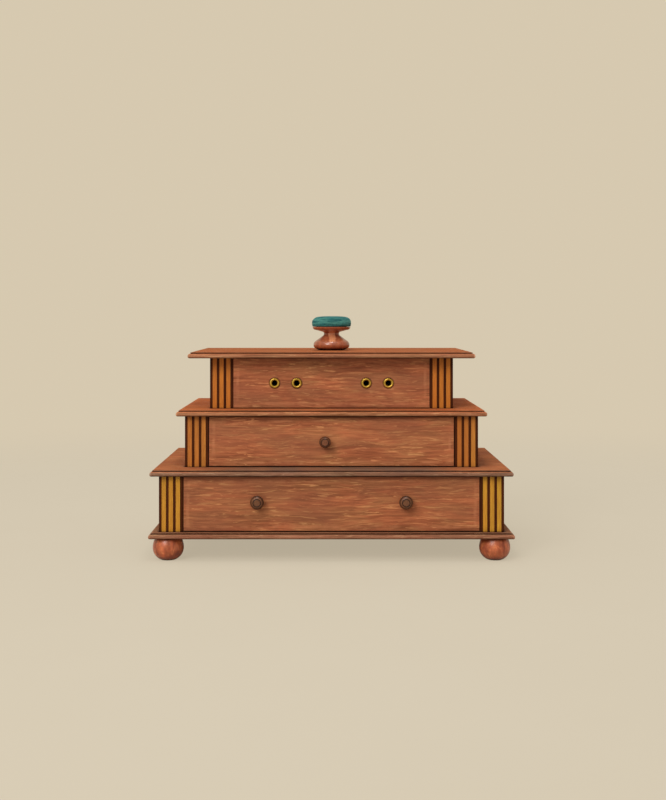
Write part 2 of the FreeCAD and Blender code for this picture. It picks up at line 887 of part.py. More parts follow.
def hinge_nodes():
    nodes = {"hinge_pins": hinge_pins()}
    nodes["hinge_case_screws"] = hinge_case_screws()
    nodes["hinge_lid_screws"] = hinge_lid_screws()
    for side, x in hinge_places().items():
        nodes[f"hinge_{side}_case_leaf"] = case_leaf(x)
        nodes[f"hinge_{side}_lid_leaf"] = lid_leaf(x)
    return nodes


def back_board_brads():
    heads = [head for storey in (bottom, middle, top) for head in back_brad_heads(storey)]
    return Part.makeCompound([brad(head, Vector(0, -1, 0)) for head in heads])


def all_nodes():
    """Every piece of the box, by its name."""
    knob_x = bottom_knob_spread / 2
    knob_z = bottom.middle + bottom_knob_rise
    bottom_knobs = [
        ("bottom_drawer_knob_left", bottom_knob_radius, (-knob_x, knob_z)),
        ("bottom_drawer_knob_right", bottom_knob_radius, (knob_x, knob_z)),
    ]
    middle_knobs = [("middle_drawer_knob", middle_knob_radius, (middle_knob_shift, middle.middle))]
    nodes = {
        "base_board": base_board(),
        "lower_shelf": shelf(bottom, lower_shelf_z),
        "upper_shelf": upper_shelf(),
        "bottom_back_board": back_board(bottom),
        "middle_back_board": back_board(middle),
        "top_back_board": top_back_board(),
        "back_board_brads": back_board_brads(),
        "bottom_drawer_guides": drawer_guides(bottom),
        "middle_drawer_guides": drawer_guides(middle),
        "top_front_panel": top_front_panel(),
        "thread_eyelets": thread_eyelets(),
        "spool_pins": spool_pins(),
        "lid_board": lid_board(),
        "pincushion_stand": pincushion_stand(),
        "pincushion_pad": pincushion_pad(),
    }
    nodes.update(foot_nodes())
    for storey in (bottom, middle, top):
        nodes.update(storey_nodes(storey))
    nodes.update(drawer_nodes(bottom, bottom_knobs))
    nodes.update(drawer_nodes(middle, middle_knobs))
    nodes.update(hinge_nodes())
    return nodes


def main():
    os.makedirs("parts", exist_ok=True)
    for name, shape in all_nodes().items():
        shape.exportStep(os.path.join("parts", name + ".step"))


main()
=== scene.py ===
import json
import math
import random
from dataclasses import dataclass

import bmesh
import bpy
import numpy as np
from mathutils import Matrix, Vector


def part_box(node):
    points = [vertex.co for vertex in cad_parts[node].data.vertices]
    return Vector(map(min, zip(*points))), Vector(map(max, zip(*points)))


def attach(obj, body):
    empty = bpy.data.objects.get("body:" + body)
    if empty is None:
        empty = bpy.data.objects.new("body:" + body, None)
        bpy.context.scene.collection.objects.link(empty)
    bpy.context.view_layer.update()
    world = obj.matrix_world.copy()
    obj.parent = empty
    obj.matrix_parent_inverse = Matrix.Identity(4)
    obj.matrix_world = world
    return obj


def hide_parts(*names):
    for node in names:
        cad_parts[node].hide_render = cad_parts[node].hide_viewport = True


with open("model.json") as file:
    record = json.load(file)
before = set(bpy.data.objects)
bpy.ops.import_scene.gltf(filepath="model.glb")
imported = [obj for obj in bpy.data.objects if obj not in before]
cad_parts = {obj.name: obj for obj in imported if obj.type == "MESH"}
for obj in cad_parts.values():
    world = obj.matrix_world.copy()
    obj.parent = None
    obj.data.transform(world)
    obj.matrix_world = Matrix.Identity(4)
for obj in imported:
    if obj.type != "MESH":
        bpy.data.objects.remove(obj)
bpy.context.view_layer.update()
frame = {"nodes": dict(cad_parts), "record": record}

bl_info = {
    "name": "Stepped Sewing Box",
    "version": (1, 0, 0),
    "blender": (4, 5, 0),
    "location": "3D View > Sidebar > Sewing Box",
    "description": "Gives a stepped sewing box its woods, its brass and its velvet pincushion",
    "category": "Object",
}

STOREYS = ("bottom", "middle", "top")
SIDES = ("left", "right")

# The photograph's frame, in pixels, with where the box's middle and the eye's level lie in it
PICTURE_WIDTH = 666
PICTURE_HEIGHT = 800
MIDDLE_PIXEL = 331.5
HORIZON_PIXEL = 315.0


def slot_colour(slot):
    """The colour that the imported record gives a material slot."""
    for material in frame["record"]["materials"]:
        if material["slot"] == slot:
            return tuple(material["base_color"])
    raise KeyError(slot)


def colour(name, description, default):
    """A colour that a user may change."""
    return bpy.props.FloatVectorProperty(
        name=name, description=description, subtype="COLOR", size=3, min=0.0, max=1.0, default=default
    )


def length(name, description, default):
    """A length in metres that a user may change."""
    return bpy.props.FloatProperty(
        name=name, description=description, subtype="DISTANCE", unit="LENGTH", precision=5, default=default
    )


def share(name, description, default):
    """A share from 0 to 1 that a user may change."""
    return bpy.props.FloatProperty(
        name=name, description=description, subtype="FACTOR", min=0.0, max=1.0, default=default
    )


def number(name, description, default):
    """A plain number that a user may change."""
    return bpy.props.FloatProperty(name=name, description=description, min=0.0, default=default)


class SewingBoxColours(bpy.types.PropertyGroup):
    """The colours of the box's finishes."""

    case_wood: colour("Case wood", "Oiled reddish wood of the boards", slot_colour("case_wood"))
    turned_wood: colour("Turned wood", "Polished wood of the feet and the stand", slot_colour("turned_wood"))
    dark_wood: colour("Dark wood", "Stained wood of the corner posts", slot_colour("dark_wood"))
    yellow_slip: colour("Bottom slips", "Slips of the bottom storey", slot_colour("yellow_slip_wood"))
    amber_slip: colour("Middle slips", "Slips of the middle storey", slot_colour("amber_slip_wood"))
    orange_slip: colour("Top slips", "Slips of the top storey", slot_colour("orange_slip_wood"))
    knob_wood: colour("Knob wood", "Dark turned wood of the knobs", slot_colour("knob_wood"))
    inner_wood: colour("Inner wood", "Plain wood of the drawers' insides", slot_colour("inner_wood"))
    pin_wood: colour("Pin wood", "Pale turned wood of the spool pins", slot_colour("pin_wood"))
    brass: colour("Brass", "Aged brass of the eyelets and hinges", slot_colour("brass"))
    steel: colour("Steel", "Dull wire of the brads", slot_colour("steel"))
    velvet: colour("Velvet", "Cloth of the pincushion", slot_colour("pad_fabric"))


class SewingBoxPad(bpy.types.PropertyGroup):
    """How the pincushion is stuffed and gathered."""

    mesh_size: length("Mesh size", "Edge length of the pad's skin before it is smoothed", 0.0006)
    slack: share("Slack", "How much smaller than its space the skin starts", 0.02)
    swell: length("Swell", "The most that the filling may push the skin out", 0.0005)
    pressure: number("Pressure", "Pressure of the filling", 4.0)
    gathers: bpy.props.IntProperty(
        name="Gathers", description="Folds where the cloth is drawn in under the pad", min=3, default=26
    )
    gather_depth: length("Gather depth", "Depth of the folds at the rim", 0.00045)
    unevenness: length("Unevenness", "Height of the lumps in the filling", 0.00016)


class SewingBoxStage(bpy.types.PropertyGroup):
    """The floor, the lamps and the camera."""

    floor_colour: colour("Floor", "Colour of the floor under the box", (0.509, 0.463, 0.378))
    background_colour: colour("Background", "Colour seen behind the box", (0.676, 0.584, 0.434))
    floor_glow: share("Floor glow", "Share of the floor that the camera sees without its shadow", 0.68)
    camera_distance: length("Camera distance", "From the camera to the base board's front", 1.030)
    camera_height: length("Camera height", "Height of the camera over the floor", 0.2056)
    lens: number("Lens", "Focal length in millimetres", 55.8)
    key_strength: number("Key", "Strength of the sun-like key lamp", 1.25)
    window_power: number("Window", "Power of the window-shaped lamp, in watts", 3.2)
    strip_power: number("Strip", "Power of the long lamp overhead, in watts", 3.4)
    softbox_power: number("Softbox", "Power of the lamp that only polished wood shows, in watts", 4.0)
    fill_strength: number("Fill", "Strength of the light from all round", 0.58)
    top_strength: number("Top light", "Strength of the soft lamp high above the box", 0.7)


class SewingBoxSettings(bpy.types.PropertyGroup):
    """Everything about the box's looks that a user may change."""

    colours: bpy.props.PointerProperty(type=SewingBoxColours)
    pad: bpy.props.PointerProperty(type=SewingBoxPad)
    stage: bpy.props.PointerProperty(type=SewingBoxStage)


# Rays that look for neighbouring surfaces, and rays that soften an edge
AO_SAMPLES = 8
BEVEL_SAMPLES = 4


class Extent:
    """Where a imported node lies: its corners, its middle and half its size."""

    def __init__(self, node):
        self.low, self.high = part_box(node)
        self.middle = (self.low + self.high) / 2
        self.half = (self.high - self.low) / 2

    def longest(self):
        """The direction of the longest side, along which a board's grain runs."""
        return "XYZ"[max(range(3), key=lambda i: self.half[i])]


class Graph:
    """A node tree being drawn up. Its functions place nodes and join them.

    A pair of lengths or shares given to remap or fade is where the change starts and where it ends.
    """

    def __init__(self, tree):
        self.tree = tree

    def node(self, kind, inputs=None, **settings):
        """A new node with its settings and its inputs."""
        made = self.tree.nodes.new(kind)
        for name, value in settings.items():
            setattr(made, name, value)
        self.fill(made, inputs or {})
        return made

    def fill(self, node, inputs):
        """Joins each named input of a node to an output, or sets it to a plain value."""
        for key, value in inputs.items():
            if isinstance(value, bpy.types.NodeSocket):
                self.tree.links.new(value, node.inputs[key])
            else:
                node.inputs[key].default_value = value

    def math(self, operation, a, b=0.0, clamp=False):
        return self.node("ShaderNodeMath", {0: a, 1: b}, operation=operation, use_clamp=clamp).outputs[0]

    def plus(self, a, b):
        return self.math("ADD", a, b)

    def minus(self, a, b):
        return self.math("SUBTRACT", a, b)

    def times(self, a, b):
        return self.math("MULTIPLY", a, b)

    def unsigned(self, value):
        return self.math("ABSOLUTE", value)

    def vector(self, operation, a, b=(0.0, 0.0, 0.0), result="Vector"):
        return self.node("ShaderNodeVectorMath", {0: a, 1: b}, operation=operation).outputs[result]

    def stretched(self, place, factors):
        return self.vector("MULTIPLY", place, factors)

    def turned(self, place, rotation, shift=(0.0, 0.0, 0.0)):
        inputs = {"Vector": place, "Rotation": rotation, "Location": shift}
        return self.node("ShaderNodeMapping", inputs).outputs[0]

    def combine(self, x, y, z):
        return self.node("ShaderNodeCombineXYZ", {0: x, 1: y, 2: z}).outputs[0]

    def parts(self, vector):
        """The X, Y and Z of a place or a direction."""
        return self.node("ShaderNodeSeparateXYZ", {0: vector}).outputs

    def place(self):
        """Each point's place on the object."""
        return self.node("ShaderNodeTexCoord").outputs["Object"]

    def noise(self, place, scale=1.0, detail=3.0, roughness=0.5, distortion=0.0, result=0):
        inputs = {
            "Vector": place,
            "Scale": scale,
            "Detail": detail,
            "Roughness": roughness,
            "Distortion": distortion,
        }
        return self.node("ShaderNodeTexNoise", inputs).outputs[result]

    def sway(self, place, scale, width):
        """A length that wavers about nothing."""
        return self.times(self.minus(self.noise(place, scale), 0.5), width)

    def remap(self, value, low, high, to_low=0.0, to_high=1.0):
        """The value's range from low to high, smoothly stretched over another range."""
        inputs = {0: value, 1: low, 2: high, 3: to_low, 4: to_high}
        return self.node("ShaderNodeMapRange", inputs, interpolation_type="SMOOTHSTEP").outputs[0]

    def fade(self, value, start, end):
        """All of something up to the start, and nothing of it past the end."""
        return self.remap(value, start, end, 1.0, 0.0)

    def shade(self, distance):
        """How much of the space within a distance of each point other surfaces take up."""
        occlusion = self.node("ShaderNodeAmbientOcclusion", {"Distance": distance}, samples=AO_SAMPLES)
        return self.minus(1.0, occlusion.outputs["AO"])

    def blend(self, factor, a, b, mode="MIX"):
        inputs = {0: factor, 6: a, 7: b}
        return self.node("ShaderNodeMix", inputs, data_type="RGBA", blend_type=mode).outputs[2]

    def laid(self, under, over, mask, amount=1.0, mode="MIX"):
        """A colour laid over another, where a mask says and by an amount."""
        return self.blend(self.times(mask, amount), under, over, mode)

    def bump(self, height, strength, distance, edge_radius=None):
        """Fine relief, on edges that are softened where their radius is given."""
        inputs = {"Strength": strength, "Distance": distance, "Height": height}
        if edge_radius is not None:
            soft_edges = self.node("ShaderNodeBevel", {"Radius": edge_radius}, samples=BEVEL_SAMPLES)
            inputs["Normal"] = soft_edges.outputs[0]
        return self.node("ShaderNodeBump", inputs).outputs[0]

    def group(self, name, inputs):
        """The outputs of a shared group that has its own values here. It is made when first asked for."""
        if name not in made_groups:
            made_groups[name] = shared_group(name, *SHARED_GROUPS[name])
        made = self.tree.nodes.new("ShaderNodeGroup")
        made.node_tree = made_groups[name]
        self.fill(made, inputs)
        return made.outputs


def shared_group(name, draw, inputs):
    """A shader node group with these inputs. The function that draws it returns its outputs by name."""
    tree = bpy.data.node_groups.new(name, "ShaderNodeTree")
    for label, value in {"Vector": None, **inputs}.items():
        kind = "NodeSocketVector" if value is None else "NodeSocketFloat"
        socket = tree.interface.new_socket(name=label, in_out="INPUT", socket_type=kind)
        if value is not None:
            socket.default_value = value
    graph = Graph(tree)
    given = graph.node("NodeGroupInput").outputs
    results = draw(graph, given)
    for label in results:
        tree.interface.new_socket(name=label, in_out="OUTPUT", socket_type="NodeSocketFloat")
    graph.node("NodeGroupOutput", results)
    return tree


def wood_grain(graph, given):
    """Streaks, light strokes, pores and cloudy patches of wood whose grain runs along X."""
    # Waves along the grain and in the two directions across it: in a metre, and for strokes in a streak
    drift_waves = (16.0, 32.0, 32.0)
    band_waves = (11.0, 85.0, 85.0)
    pore_waves = (240.0, 3600.0, 3600.0)
    patch_waves = (15.0, 44.0, 44.0)
    warmth_waves = (22.0, 95.0, 95.0)
    fine_strokes = (1.7, 2.9, 2.9)
    fleck_strokes = (1.9, 1.15, 1.15)

    drift = graph.noise(graph.stretched(given["Vector"], drift_waves), detail=2.0, result="Color")
    wander = graph.combine(0.0, given["Wander"], given["Wander"])
    place = graph.vector("ADD", given["Vector"], graph.stretched(drift, wander))
    streak_size = graph.combine(given["Streak Length"], given["Streak Height"], given["Streak Height"])
    streak_place = graph.vector("DIVIDE", place, streak_size)
    streaks = graph.noise(streak_place, detail=4.0, roughness=0.62, distortion=0.5)
    fine = graph.noise(graph.stretched(streak_place, fine_strokes), roughness=0.6)
    bands = graph.noise(graph.stretched(place, band_waves))
    tone = graph.plus(graph.remap(streaks, 0.36, 0.66, 0.0, 0.50), graph.remap(bands, 0.36, 0.64, 0.0, 0.24))
    tone = graph.math("ADD", tone, graph.remap(fine, 0.36, 0.64, 0.0, 0.26), clamp=True)

    flecks = graph.noise(graph.stretched(streak_place, fleck_strokes), roughness=0.6, distortion=0.9)
    pores = graph.noise(graph.stretched(place, pore_waves), detail=2.0)
    patch_size = graph.combine(given["Patch Size"], given["Patch Size"], given["Patch Size"])
    patch_place = graph.vector("DIVIDE", place, patch_size)
    patches = graph.noise(graph.stretched(patch_place, patch_waves), detail=5.0)
    warmth_place = graph.stretched(patch_place, warmth_waves)
    warmth = graph.noise(warmth_place, detail=4.0, roughness=0.6, distortion=0.6)
    return {
        "Tone": tone,
        "Flecks": graph.remap(flecks, 0.555, 0.665),
        "Pores": graph.remap(pores, 0.58, 0.72),
        "Patches": graph.remap(patches, 0.44, 0.66),
        "Warmth": graph.remap(warmth, 0.36, 0.64),
    }


def edge_and_hollow_masks(graph, given):
    """Masks for outer edges where the finish wears, for crevices, and for places that other surfaces shelter.
    The woods lay grime and painted shade in the crevices and painted shade in sheltered places; the velvet
    takes painted shade there too, and the brass its patina.
    """
    # The shares of shade from which a mark starts and at which it is full
    edge_shade = (0.12, 0.55)
    shelter_shade = (0.12, 0.62)
    full_crevice = 0.34
    edge = graph.node(
        "ShaderNodeAmbientOcclusion", {"Distance": given["Edge Reach"]},
        inside=True, only_local=True, samples=AO_SAMPLES,
    )
    from_occlusion = graph.remap(graph.minus(1.0, edge.outputs["AO"]), *edge_shade)
    shut = graph.remap(graph.shade(given["Shelter Reach"]), *shelter_shade)
    patches = graph.noise(given["Vector"], scale=170.0, detail=4.0, roughness=0.6)
    return {
        "Edges": graph.times(from_occlusion, graph.remap(patches, 0.34, 0.66, 0.35, 1.0)),
        "Crevices": graph.remap(graph.shade(given["Crevice Reach"]), given["Crevice Start"], full_crevice),
        "Shelter": graph.times(shut, graph.remap(patches, 0.30, 0.70, 0.7, 1.0)),
    }


def facing_and_dust(graph, given):
    """What looks up and what looks down, and the dust lying on what looks up."""
    looks_up = (0.55, 0.98)
    looks_down = (-0.99, -0.93)
    normal = graph.node("ShaderNodeTexCoord").outputs["Normal"]
    up = graph.parts(normal)["Z"]
    cloud = graph.noise(given["Vector"], scale=34.0, detail=6.0, roughness=0.65)
    top = graph.remap(up, *looks_up)
    return {
        "Top": top,
        "Under": graph.fade(up, *looks_down),
        "Dust": graph.times(top, graph.remap(cloud, 0.36, 0.70)),
    }


def lathe_rings(graph, given):
    """The fine rings that a lathe leaves round an axis along Z."""
    parts = graph.parts(given["Vector"])
    radius = graph.vector("LENGTH", graph.combine(parts["X"], parts["Y"], 0.0), result="Value")
    step = graph.combine(given["Spacing"], given["Spacing"], given["Spacing"])
    spot = graph.vector("DIVIDE", graph.combine(radius, parts["Z"], 0.0), step)
    rings = graph.noise(spot, roughness=0.6)
    return {"Rings": graph.remap(rings, 0.32, 0.68), "Radius": radius}


def metal_tarnish(graph, given):
    """Cloudy and speckled tarnish of old metal."""
    clouds = graph.noise(given["Vector"], scale=240.0, detail=5.0, roughness=0.6)
    specks = graph.noise(given["Vector"], scale=1500.0, roughness=0.7)
    return {"Clouds": graph.remap(clouds, 0.36, 0.64), "Specks": graph.remap(specks, 0.56, 0.72)}


def velvet_nap(graph, given):
    """The nap of velvet: brushed bands, crushed patches and single tufts."""
    band_waves = (42.0, 42.0, 470.0)
    bands = graph.noise(graph.stretched(given["Vector"], band_waves), roughness=0.55, distortion=0.35)
    crushed = graph.noise(given["Vector"], scale=130.0, detail=4.0, roughness=0.6)
    tufts = graph.noise(given["Vector"], scale=3400.0, detail=2.0, roughness=0.6)
    return {
        "Bands": graph.remap(bands, 0.42, 0.60),
        "Crushed": graph.remap(crushed, 0.36, 0.64),
        "Tufts": tufts,
    }


# The shared groups: what draws each, and its inputs besides the place, with their plain values
SHARED_GROUPS = {
    "Wood Grain": (
        wood_grain, {"Streak Length": 0.026, "Streak Height": 0.0015, "Wander": 0.004, "Patch Size": 1.0}
    ),
    "Age": (
        edge_and_hollow_masks,
        {"Edge Reach": 0.0011, "Crevice Reach": 0.0014, "Crevice Start": 0.10, "Shelter Reach": 0.006},
    ),
    "Facing": (facing_and_dust, {}),
    "Turning": (lathe_rings, {"Spacing": 0.0009}),
    "Tarnish": (metal_tarnish, {}),
    "Velvet Nap": (velvet_nap, {}),
}
made_groups = {}


def tinted(tint, factors=(1.0, 1.0, 1.0)):
    """A colour made lighter or darker by a factor for each channel."""
    return tuple(min(1.0, c * f) for c, f in zip(tint, factors)) + (1.0,)


def new_material(name):
    """An empty material. Returns it, its graph and its surface shader."""
    material = bpy.data.materials.new(name)
    material.use_nodes = True
    material.node_tree.nodes.clear()
    graph = Graph(material.node_tree)
    surface = graph.node("ShaderNodeBsdfPrincipled")
    graph.node("ShaderNodeOutputMaterial", {"Surface": surface.outputs[0]})
    return material, graph, surface


def dress(node, material):
    """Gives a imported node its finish."""
    slots = frame["nodes"][node].data.materials
    slots.clear()
    slots.append(material)


# The turns that bring a direction of the object to X, where the grain runs
TO_GRAIN = {
    "X": (0.0, 0.0, 0.0),
    "Y": (0.0, 0.0, math.radians(-90)),
    "Z": (0.0, math.radians(90), 0.0),
}

# The turns that bring a lathe's axis upright
TO_UPRIGHT = {"Z": (0.0, 0.0, 0.0), "Y": (math.radians(90), 0.0, 0.0)}


def piece_shift(node):
    """A place of its own in the wood for each piece, so that no two have the same grain."""
    farthest = 0.4
    pick = random.Random(node)
    return tuple(pick.uniform(-farthest, farthest) for _ in range(3))


@dataclass(frozen=True)
class Wood:
    """How a wood looks. The streak's size, the wander and the reaches are in metres."""

    # Length and height of the streaks, how far they wander, and their darkest and lightest tone
    streak: tuple = (0.026, 0.0015)
    wander: float = 0.004
    dark: float = 0.56
    light: float = 1.38

    # Light flecks, open pores, cloudy patches with their size and their tone, and how far its hue drifts
    flecks: float = 0.5
    pores: float = 0.5
    patches: float = 0.25
    patch_size: float = 1.0
    stain: tuple = (0.62, 0.60, 0.72)
    hues: float = 0.35

    # Polish
    roughness: float = 0.5
    specular: float = 0.3
    coat: float = 0.0
    coat_roughness: float = 0.25

    # Wear on edges, grime and painted shade in crevices, painted shade in shelter, and dust
    wear: float = 0.35
    edge_reach: float = 0.0011
    dirt_and_shade: float = 0.9
    crevice_reach: float = 0.0014
    crevice_start: float = 0.10
    shelter: float = 0.4
    shelter_reach: float = 0.006
    dust: float = 0.08

    # What only the plates, the knobs, the slips or the stand have
    moulded: bool = False
    # A painted highlight on a plate's front corners
    corner_highlights: float = 0.0
    dark_rim: float = 0.0
    strip_tones: float = 0.0
    # A painted highlight on the stand's waist
    waist_highlight: float = 0.0


PLATE_WOOD = Wood(
    flecks=0.6, patches=0.4, roughness=0.7, specular=0.02, wear=0.5, edge_reach=0.0020, dirt_and_shade=0.95,
    crevice_reach=0.0024, crevice_start=0.04, shelter=0.5, shelter_reach=0.010, dust=0.02,
    moulded=True, corner_highlights=0.75,
)
FRONT_WOOD = Wood(
    streak=(0.034, 0.0019), wander=0.008, flecks=0.8, patches=0.5, hues=0.6, roughness=0.52,
    specular=0.18, wear=0.3, shelter=0.3,
)
CASE_WOOD = Wood(flecks=0.55, roughness=0.58, specular=0.16)
FOOT_WOOD = Wood(
    streak=(0.014, 0.0060), wander=0.012, dark=0.66, light=1.42, patches=0.95, patch_size=0.30,
    stain=(0.48, 0.36, 0.38), hues=0.5, roughness=0.36, coat=0.25, shelter=0.6, shelter_reach=0.005,
    dust=0.04,
)
STAND_WOOD = Wood(
    streak=(0.020, 0.0036), wander=0.008, dark=0.64, light=1.24, flecks=0.2, patches=0.7, patch_size=0.3,
    hues=0.5, roughness=0.36, specular=0.25, coat=0.7, coat_roughness=0.16, wear=0.2, dirt_and_shade=0.6,
    shelter=0.15, dust=0.04, waist_highlight=0.75,
)
POST_WOOD = Wood(
    streak=(0.020, 0.0011), dark=0.6, light=1.4, flecks=0.15, specular=0.06, wear=0.06,
    edge_reach=0.0005, dust=0.0,
)
SLIP_WOOD = Wood(
    streak=(0.018, 0.0010), dark=0.62, light=1.22, flecks=0.3, pores=0.4, patches=0.4, roughness=0.46,
    specular=0.2, wear=0.1, edge_reach=0.0004, dirt_and_shade=0.7, crevice_reach=0.0010, shelter=0.3, dust=0.0,
    strip_tones=0.7,
)
KNOB_WOOD = Wood(
    streak=(0.010, 0.0010), dark=0.6, light=1.4, flecks=0.2, roughness=0.42, specular=0.22, coat=0.1,
    wear=0.1, crevice_start=0.04, shelter=0.3, shelter_reach=0.003, dust=0.0, dark_rim=0.85,
)
INNER_WOOD = Wood(
    streak=(0.034, 0.0019), dark=0.78, light=1.18, flecks=0.3, hues=0.1, roughness=0.72, specular=0.12,
    wear=0.1, dirt_and_shade=0.7, dust=0.12,
)
PIN_WOOD = Wood(streak=(0.014, 0.0009), dark=0.8, light=1.15, flecks=0.2, specular=0.2, wear=0.1)

# How a board's red, green and blue part from the others, because no two planks are alike. The plates' entries
# also paint light and shade on their edges: greyer on the lid and the upper shelf, darker and greyer on the
# lower shelf and the base board
PLANK_TONES = {
    "base_board": (0.74, 0.90, 1.16),
    "lower_shelf": (0.58, 0.83, 1.18),
    "upper_shelf": (0.89, 1.05, 1.18),
    "lid_board": (0.88, 1.08, 1.26),
    "bottom_drawer_front": (0.90, 0.86, 0.79),
    "middle_drawer_front": (0.99, 0.95, 0.87),
    "top_front_panel": (1.03, 1.0, 0.92),
}
PLAIN_PLANK = (0.98, 0.95, 0.89)

# How a plate's top parts from its edges: painted light and shade, which give the top a tone of its own beside
# the plank's tone on its edges
TOP_TONES = {
    "base_board": (1.0, 1.05, 0.90),
    "lower_shelf": (1.72, 1.13, 0.66),
    "upper_shelf": (1.47, 1.0, 0.62),
    "lid_board": (1.09, 0.76, 0.48),
}

# The storey that stands on a plate and keeps the plate's bare middle covered
STOREY_OVER = {"base_board": "bottom", "lower_shelf": "middle", "upper_shelf": "top"}

# How much painted shadow lies on a shelf in front of the storey over it
SHELF_SHADOW = {"lower_shelf": 0.7, "upper_shelf": 0.18}

# The redder and the yellower hue between which a wood's colour drifts, and how far bare wood drifts
REDDER = (1.04, 0.86, 0.80, 1.0)
YELLOWER = (0.97, 1.13, 1.02, 1.0)
BARE_HUES = 0.1

# Marks on the wood, painted shade and painted highlights, as factors on its own colour
# Dark for open pores, for grime and painted shade in crevices, and for painted shade in the plates' mouldings
DEEP_DIRT_AND_SHADE = (0.16, 0.13, 0.14)
# Painted shade where other surfaces shelter the wood
PAINTED_SHELTER_SHADE = (0.36, 0.36, 0.46)
# Painted highlight on the plates' front corners
HIGHLIGHT_ON_CORNERS = (2.1, 2.8, 3.4)
# Painted highlight on the stand's waist
HIGHLIGHT_ON_WAIST = (1.9, 3.2, 3.9)
LATHE_RING = (0.55, 0.5, 0.45)
DARK_RIM = (0.22, 0.20, 0.20)
BROWNER_SLIP = (0.78, 0.60, 0.62)

# Marks that have a colour of their own, and the grey of a painted shadow
SHELF_GREY = (0.067, 0.069, 0.056, 1.0)
DUST = (0.50, 0.43, 0.33, 1.0)
RUST = (0.11, 0.042, 0.018, 1.0)

SLIPS_IN_A_POST = 3


def border_highlight(graph, place, extent):
    """A painted highlight along a line a little inside a front's four edges, broken up here and there."""
    inset = 0.0040
    half_width = (0.0003, 0.0019)
    centred = graph.vector("SUBTRACT", place, tuple(extent.middle))
    from_middle = graph.parts(graph.vector("ABSOLUTE", centred))
    from_end = graph.minus(extent.half.x, from_middle["X"])
    from_top = graph.minus(extent.half.z, from_middle["Z"])
    inside = graph.plus(graph.math("MINIMUM", from_end, from_top), graph.sway(place, 38.0, 0.004))
    off_line = graph.unsigned(graph.minus(inside, inset))
    broken = graph.noise(place, scale=75.0, roughness=0.6)
    return graph.times(graph.fade(off_line, *half_width), graph.remap(broken, 0.36, 0.62))


def plate_distances(graph, place, extent):
    """How far each point of a plate is from its nearer end and from its front."""
    parts = graph.parts(graph.vector("SUBTRACT", place, tuple(extent.middle)))
    from_end = graph.minus(extent.half.x, graph.unsigned(parts["X"]))
    from_front = graph.plus(parts["Y"], extent.half.y)
    return from_end, from_front


def front_corners(graph, place, extent):
    """The part of a plate near its two front corners, faded out towards the middle."""
    corner_width = 0.024
    corner_depth = 0.02
    from_end, from_front = plate_distances(graph, place, extent)
    patches = graph.noise(place, scale=120.0, detail=4.0, roughness=0.6)
    corners = graph.times(graph.fade(from_end, 0.0, corner_width), graph.fade(from_front, 0.0, corner_depth))
    return graph.times(corners, graph.remap(patches, 0.34, 0.60, 0.3, 1.0))


def before_storey(graph, place, extent):
    """The middle part of a shelf's front strip, faded out towards its ends and under the storey over it."""
    end_margin = (0.030, 0.085)
    strip_depth = (0.036, 0.046)
    from_end, from_front = plate_distances(graph, place, extent)
    patches = graph.noise(place, scale=30.0, detail=5.0, roughness=0.6)
    strip = graph.times(graph.remap(from_end, *end_margin), graph.fade(from_front, *strip_depth))
    return graph.times(strip, graph.remap(patches, 0.32, 0.60, 0.6, 1.0))


def inside_storey(graph, place, storey):
    """What lies within a storey's walls."""
    left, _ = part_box(f"{storey}_side_left")
    _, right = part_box(f"{storey}_side_right")
    front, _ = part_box("top_front_panel" if storey == "top" else f"{storey}_drawer_front")
    _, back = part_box(f"{storey}_back_board")
    parts = graph.parts(place)
    beside = graph.unsigned(graph.minus(parts["X"], (left.x + right.x) / 2))
    behind = graph.unsigned(graph.minus(parts["Y"], (front.y + back.y) / 2))
    across = graph.math("LESS_THAN", beside, (right.x - left.x) / 2)
    along = graph.math("LESS_THAN", behind, (back.y - front.y) / 2)
    return graph.times(across, along)


def moulding_shade_lines(graph, place, extent, facing):
    """Painted shade in a plate's step and under its lower round."""
    step_height = (0.0011, 0.0014)
    foot_height = (0.0005, 0.0012)
    height = graph.parts(place)["Z"]
    from_top = graph.minus(extent.high.z, height)
    from_bottom = graph.minus(height, extent.low.z)
    upright = graph.minus(1.0, facing["Top"])
    edge = graph.minus(1.0, facing["Under"])
    step = graph.times(graph.fade(from_top, *step_height), upright)
    foot = graph.times(graph.remap(from_bottom, *foot_height, 0.9, 0.0), edge)
    patches = graph.noise(place, scale=90.0, detail=4.0, roughness=0.6)
    return graph.times(graph.math("MAXIMUM", step, foot), graph.remap(patches, 0.30, 0.60, 0.6, 1.0))


def painted_waist_highlight(graph, place, extent):
    """A painted highlight on the front of the stand's waist."""
    height_over_sole = 0.0165
    off_middle = 0.0007
    half_width = (0.0022, 0.0038)
    half_height = (0.0040, 0.0056)
    before_middle = (0.0, 0.002)
    parts = graph.parts(place)
    sway = graph.sway(place, 260.0, 0.004)
    aside = graph.unsigned(graph.minus(graph.plus(parts["X"], sway), off_middle))
    up = graph.unsigned(graph.minus(graph.plus(parts["Z"], sway), extent.low.z + height_over_sole))
    spot = graph.times(graph.fade(aside, *half_width), graph.fade(up, *half_height))
    in_front = graph.remap(graph.minus(extent.middle.y, parts["Y"]), *before_middle)
    return graph.times(spot, in_front)


def strip_tone(graph, place, extent, node):
    """A value of its own for each of the slips in a post."""
    across = graph.minus(graph.parts(place)["X"], extent.low.x)
    count = graph.times(across, SLIPS_IN_A_POST / (extent.high.x - extent.low.x))
    slip_number = graph.plus(graph.math("FLOOR", count), random.Random(node).uniform(0.1, 0.9))
    return graph.node("ShaderNodeTexWhiteNoise", {"W": slip_number}, noise_dimensions="1D").outputs["Value"]


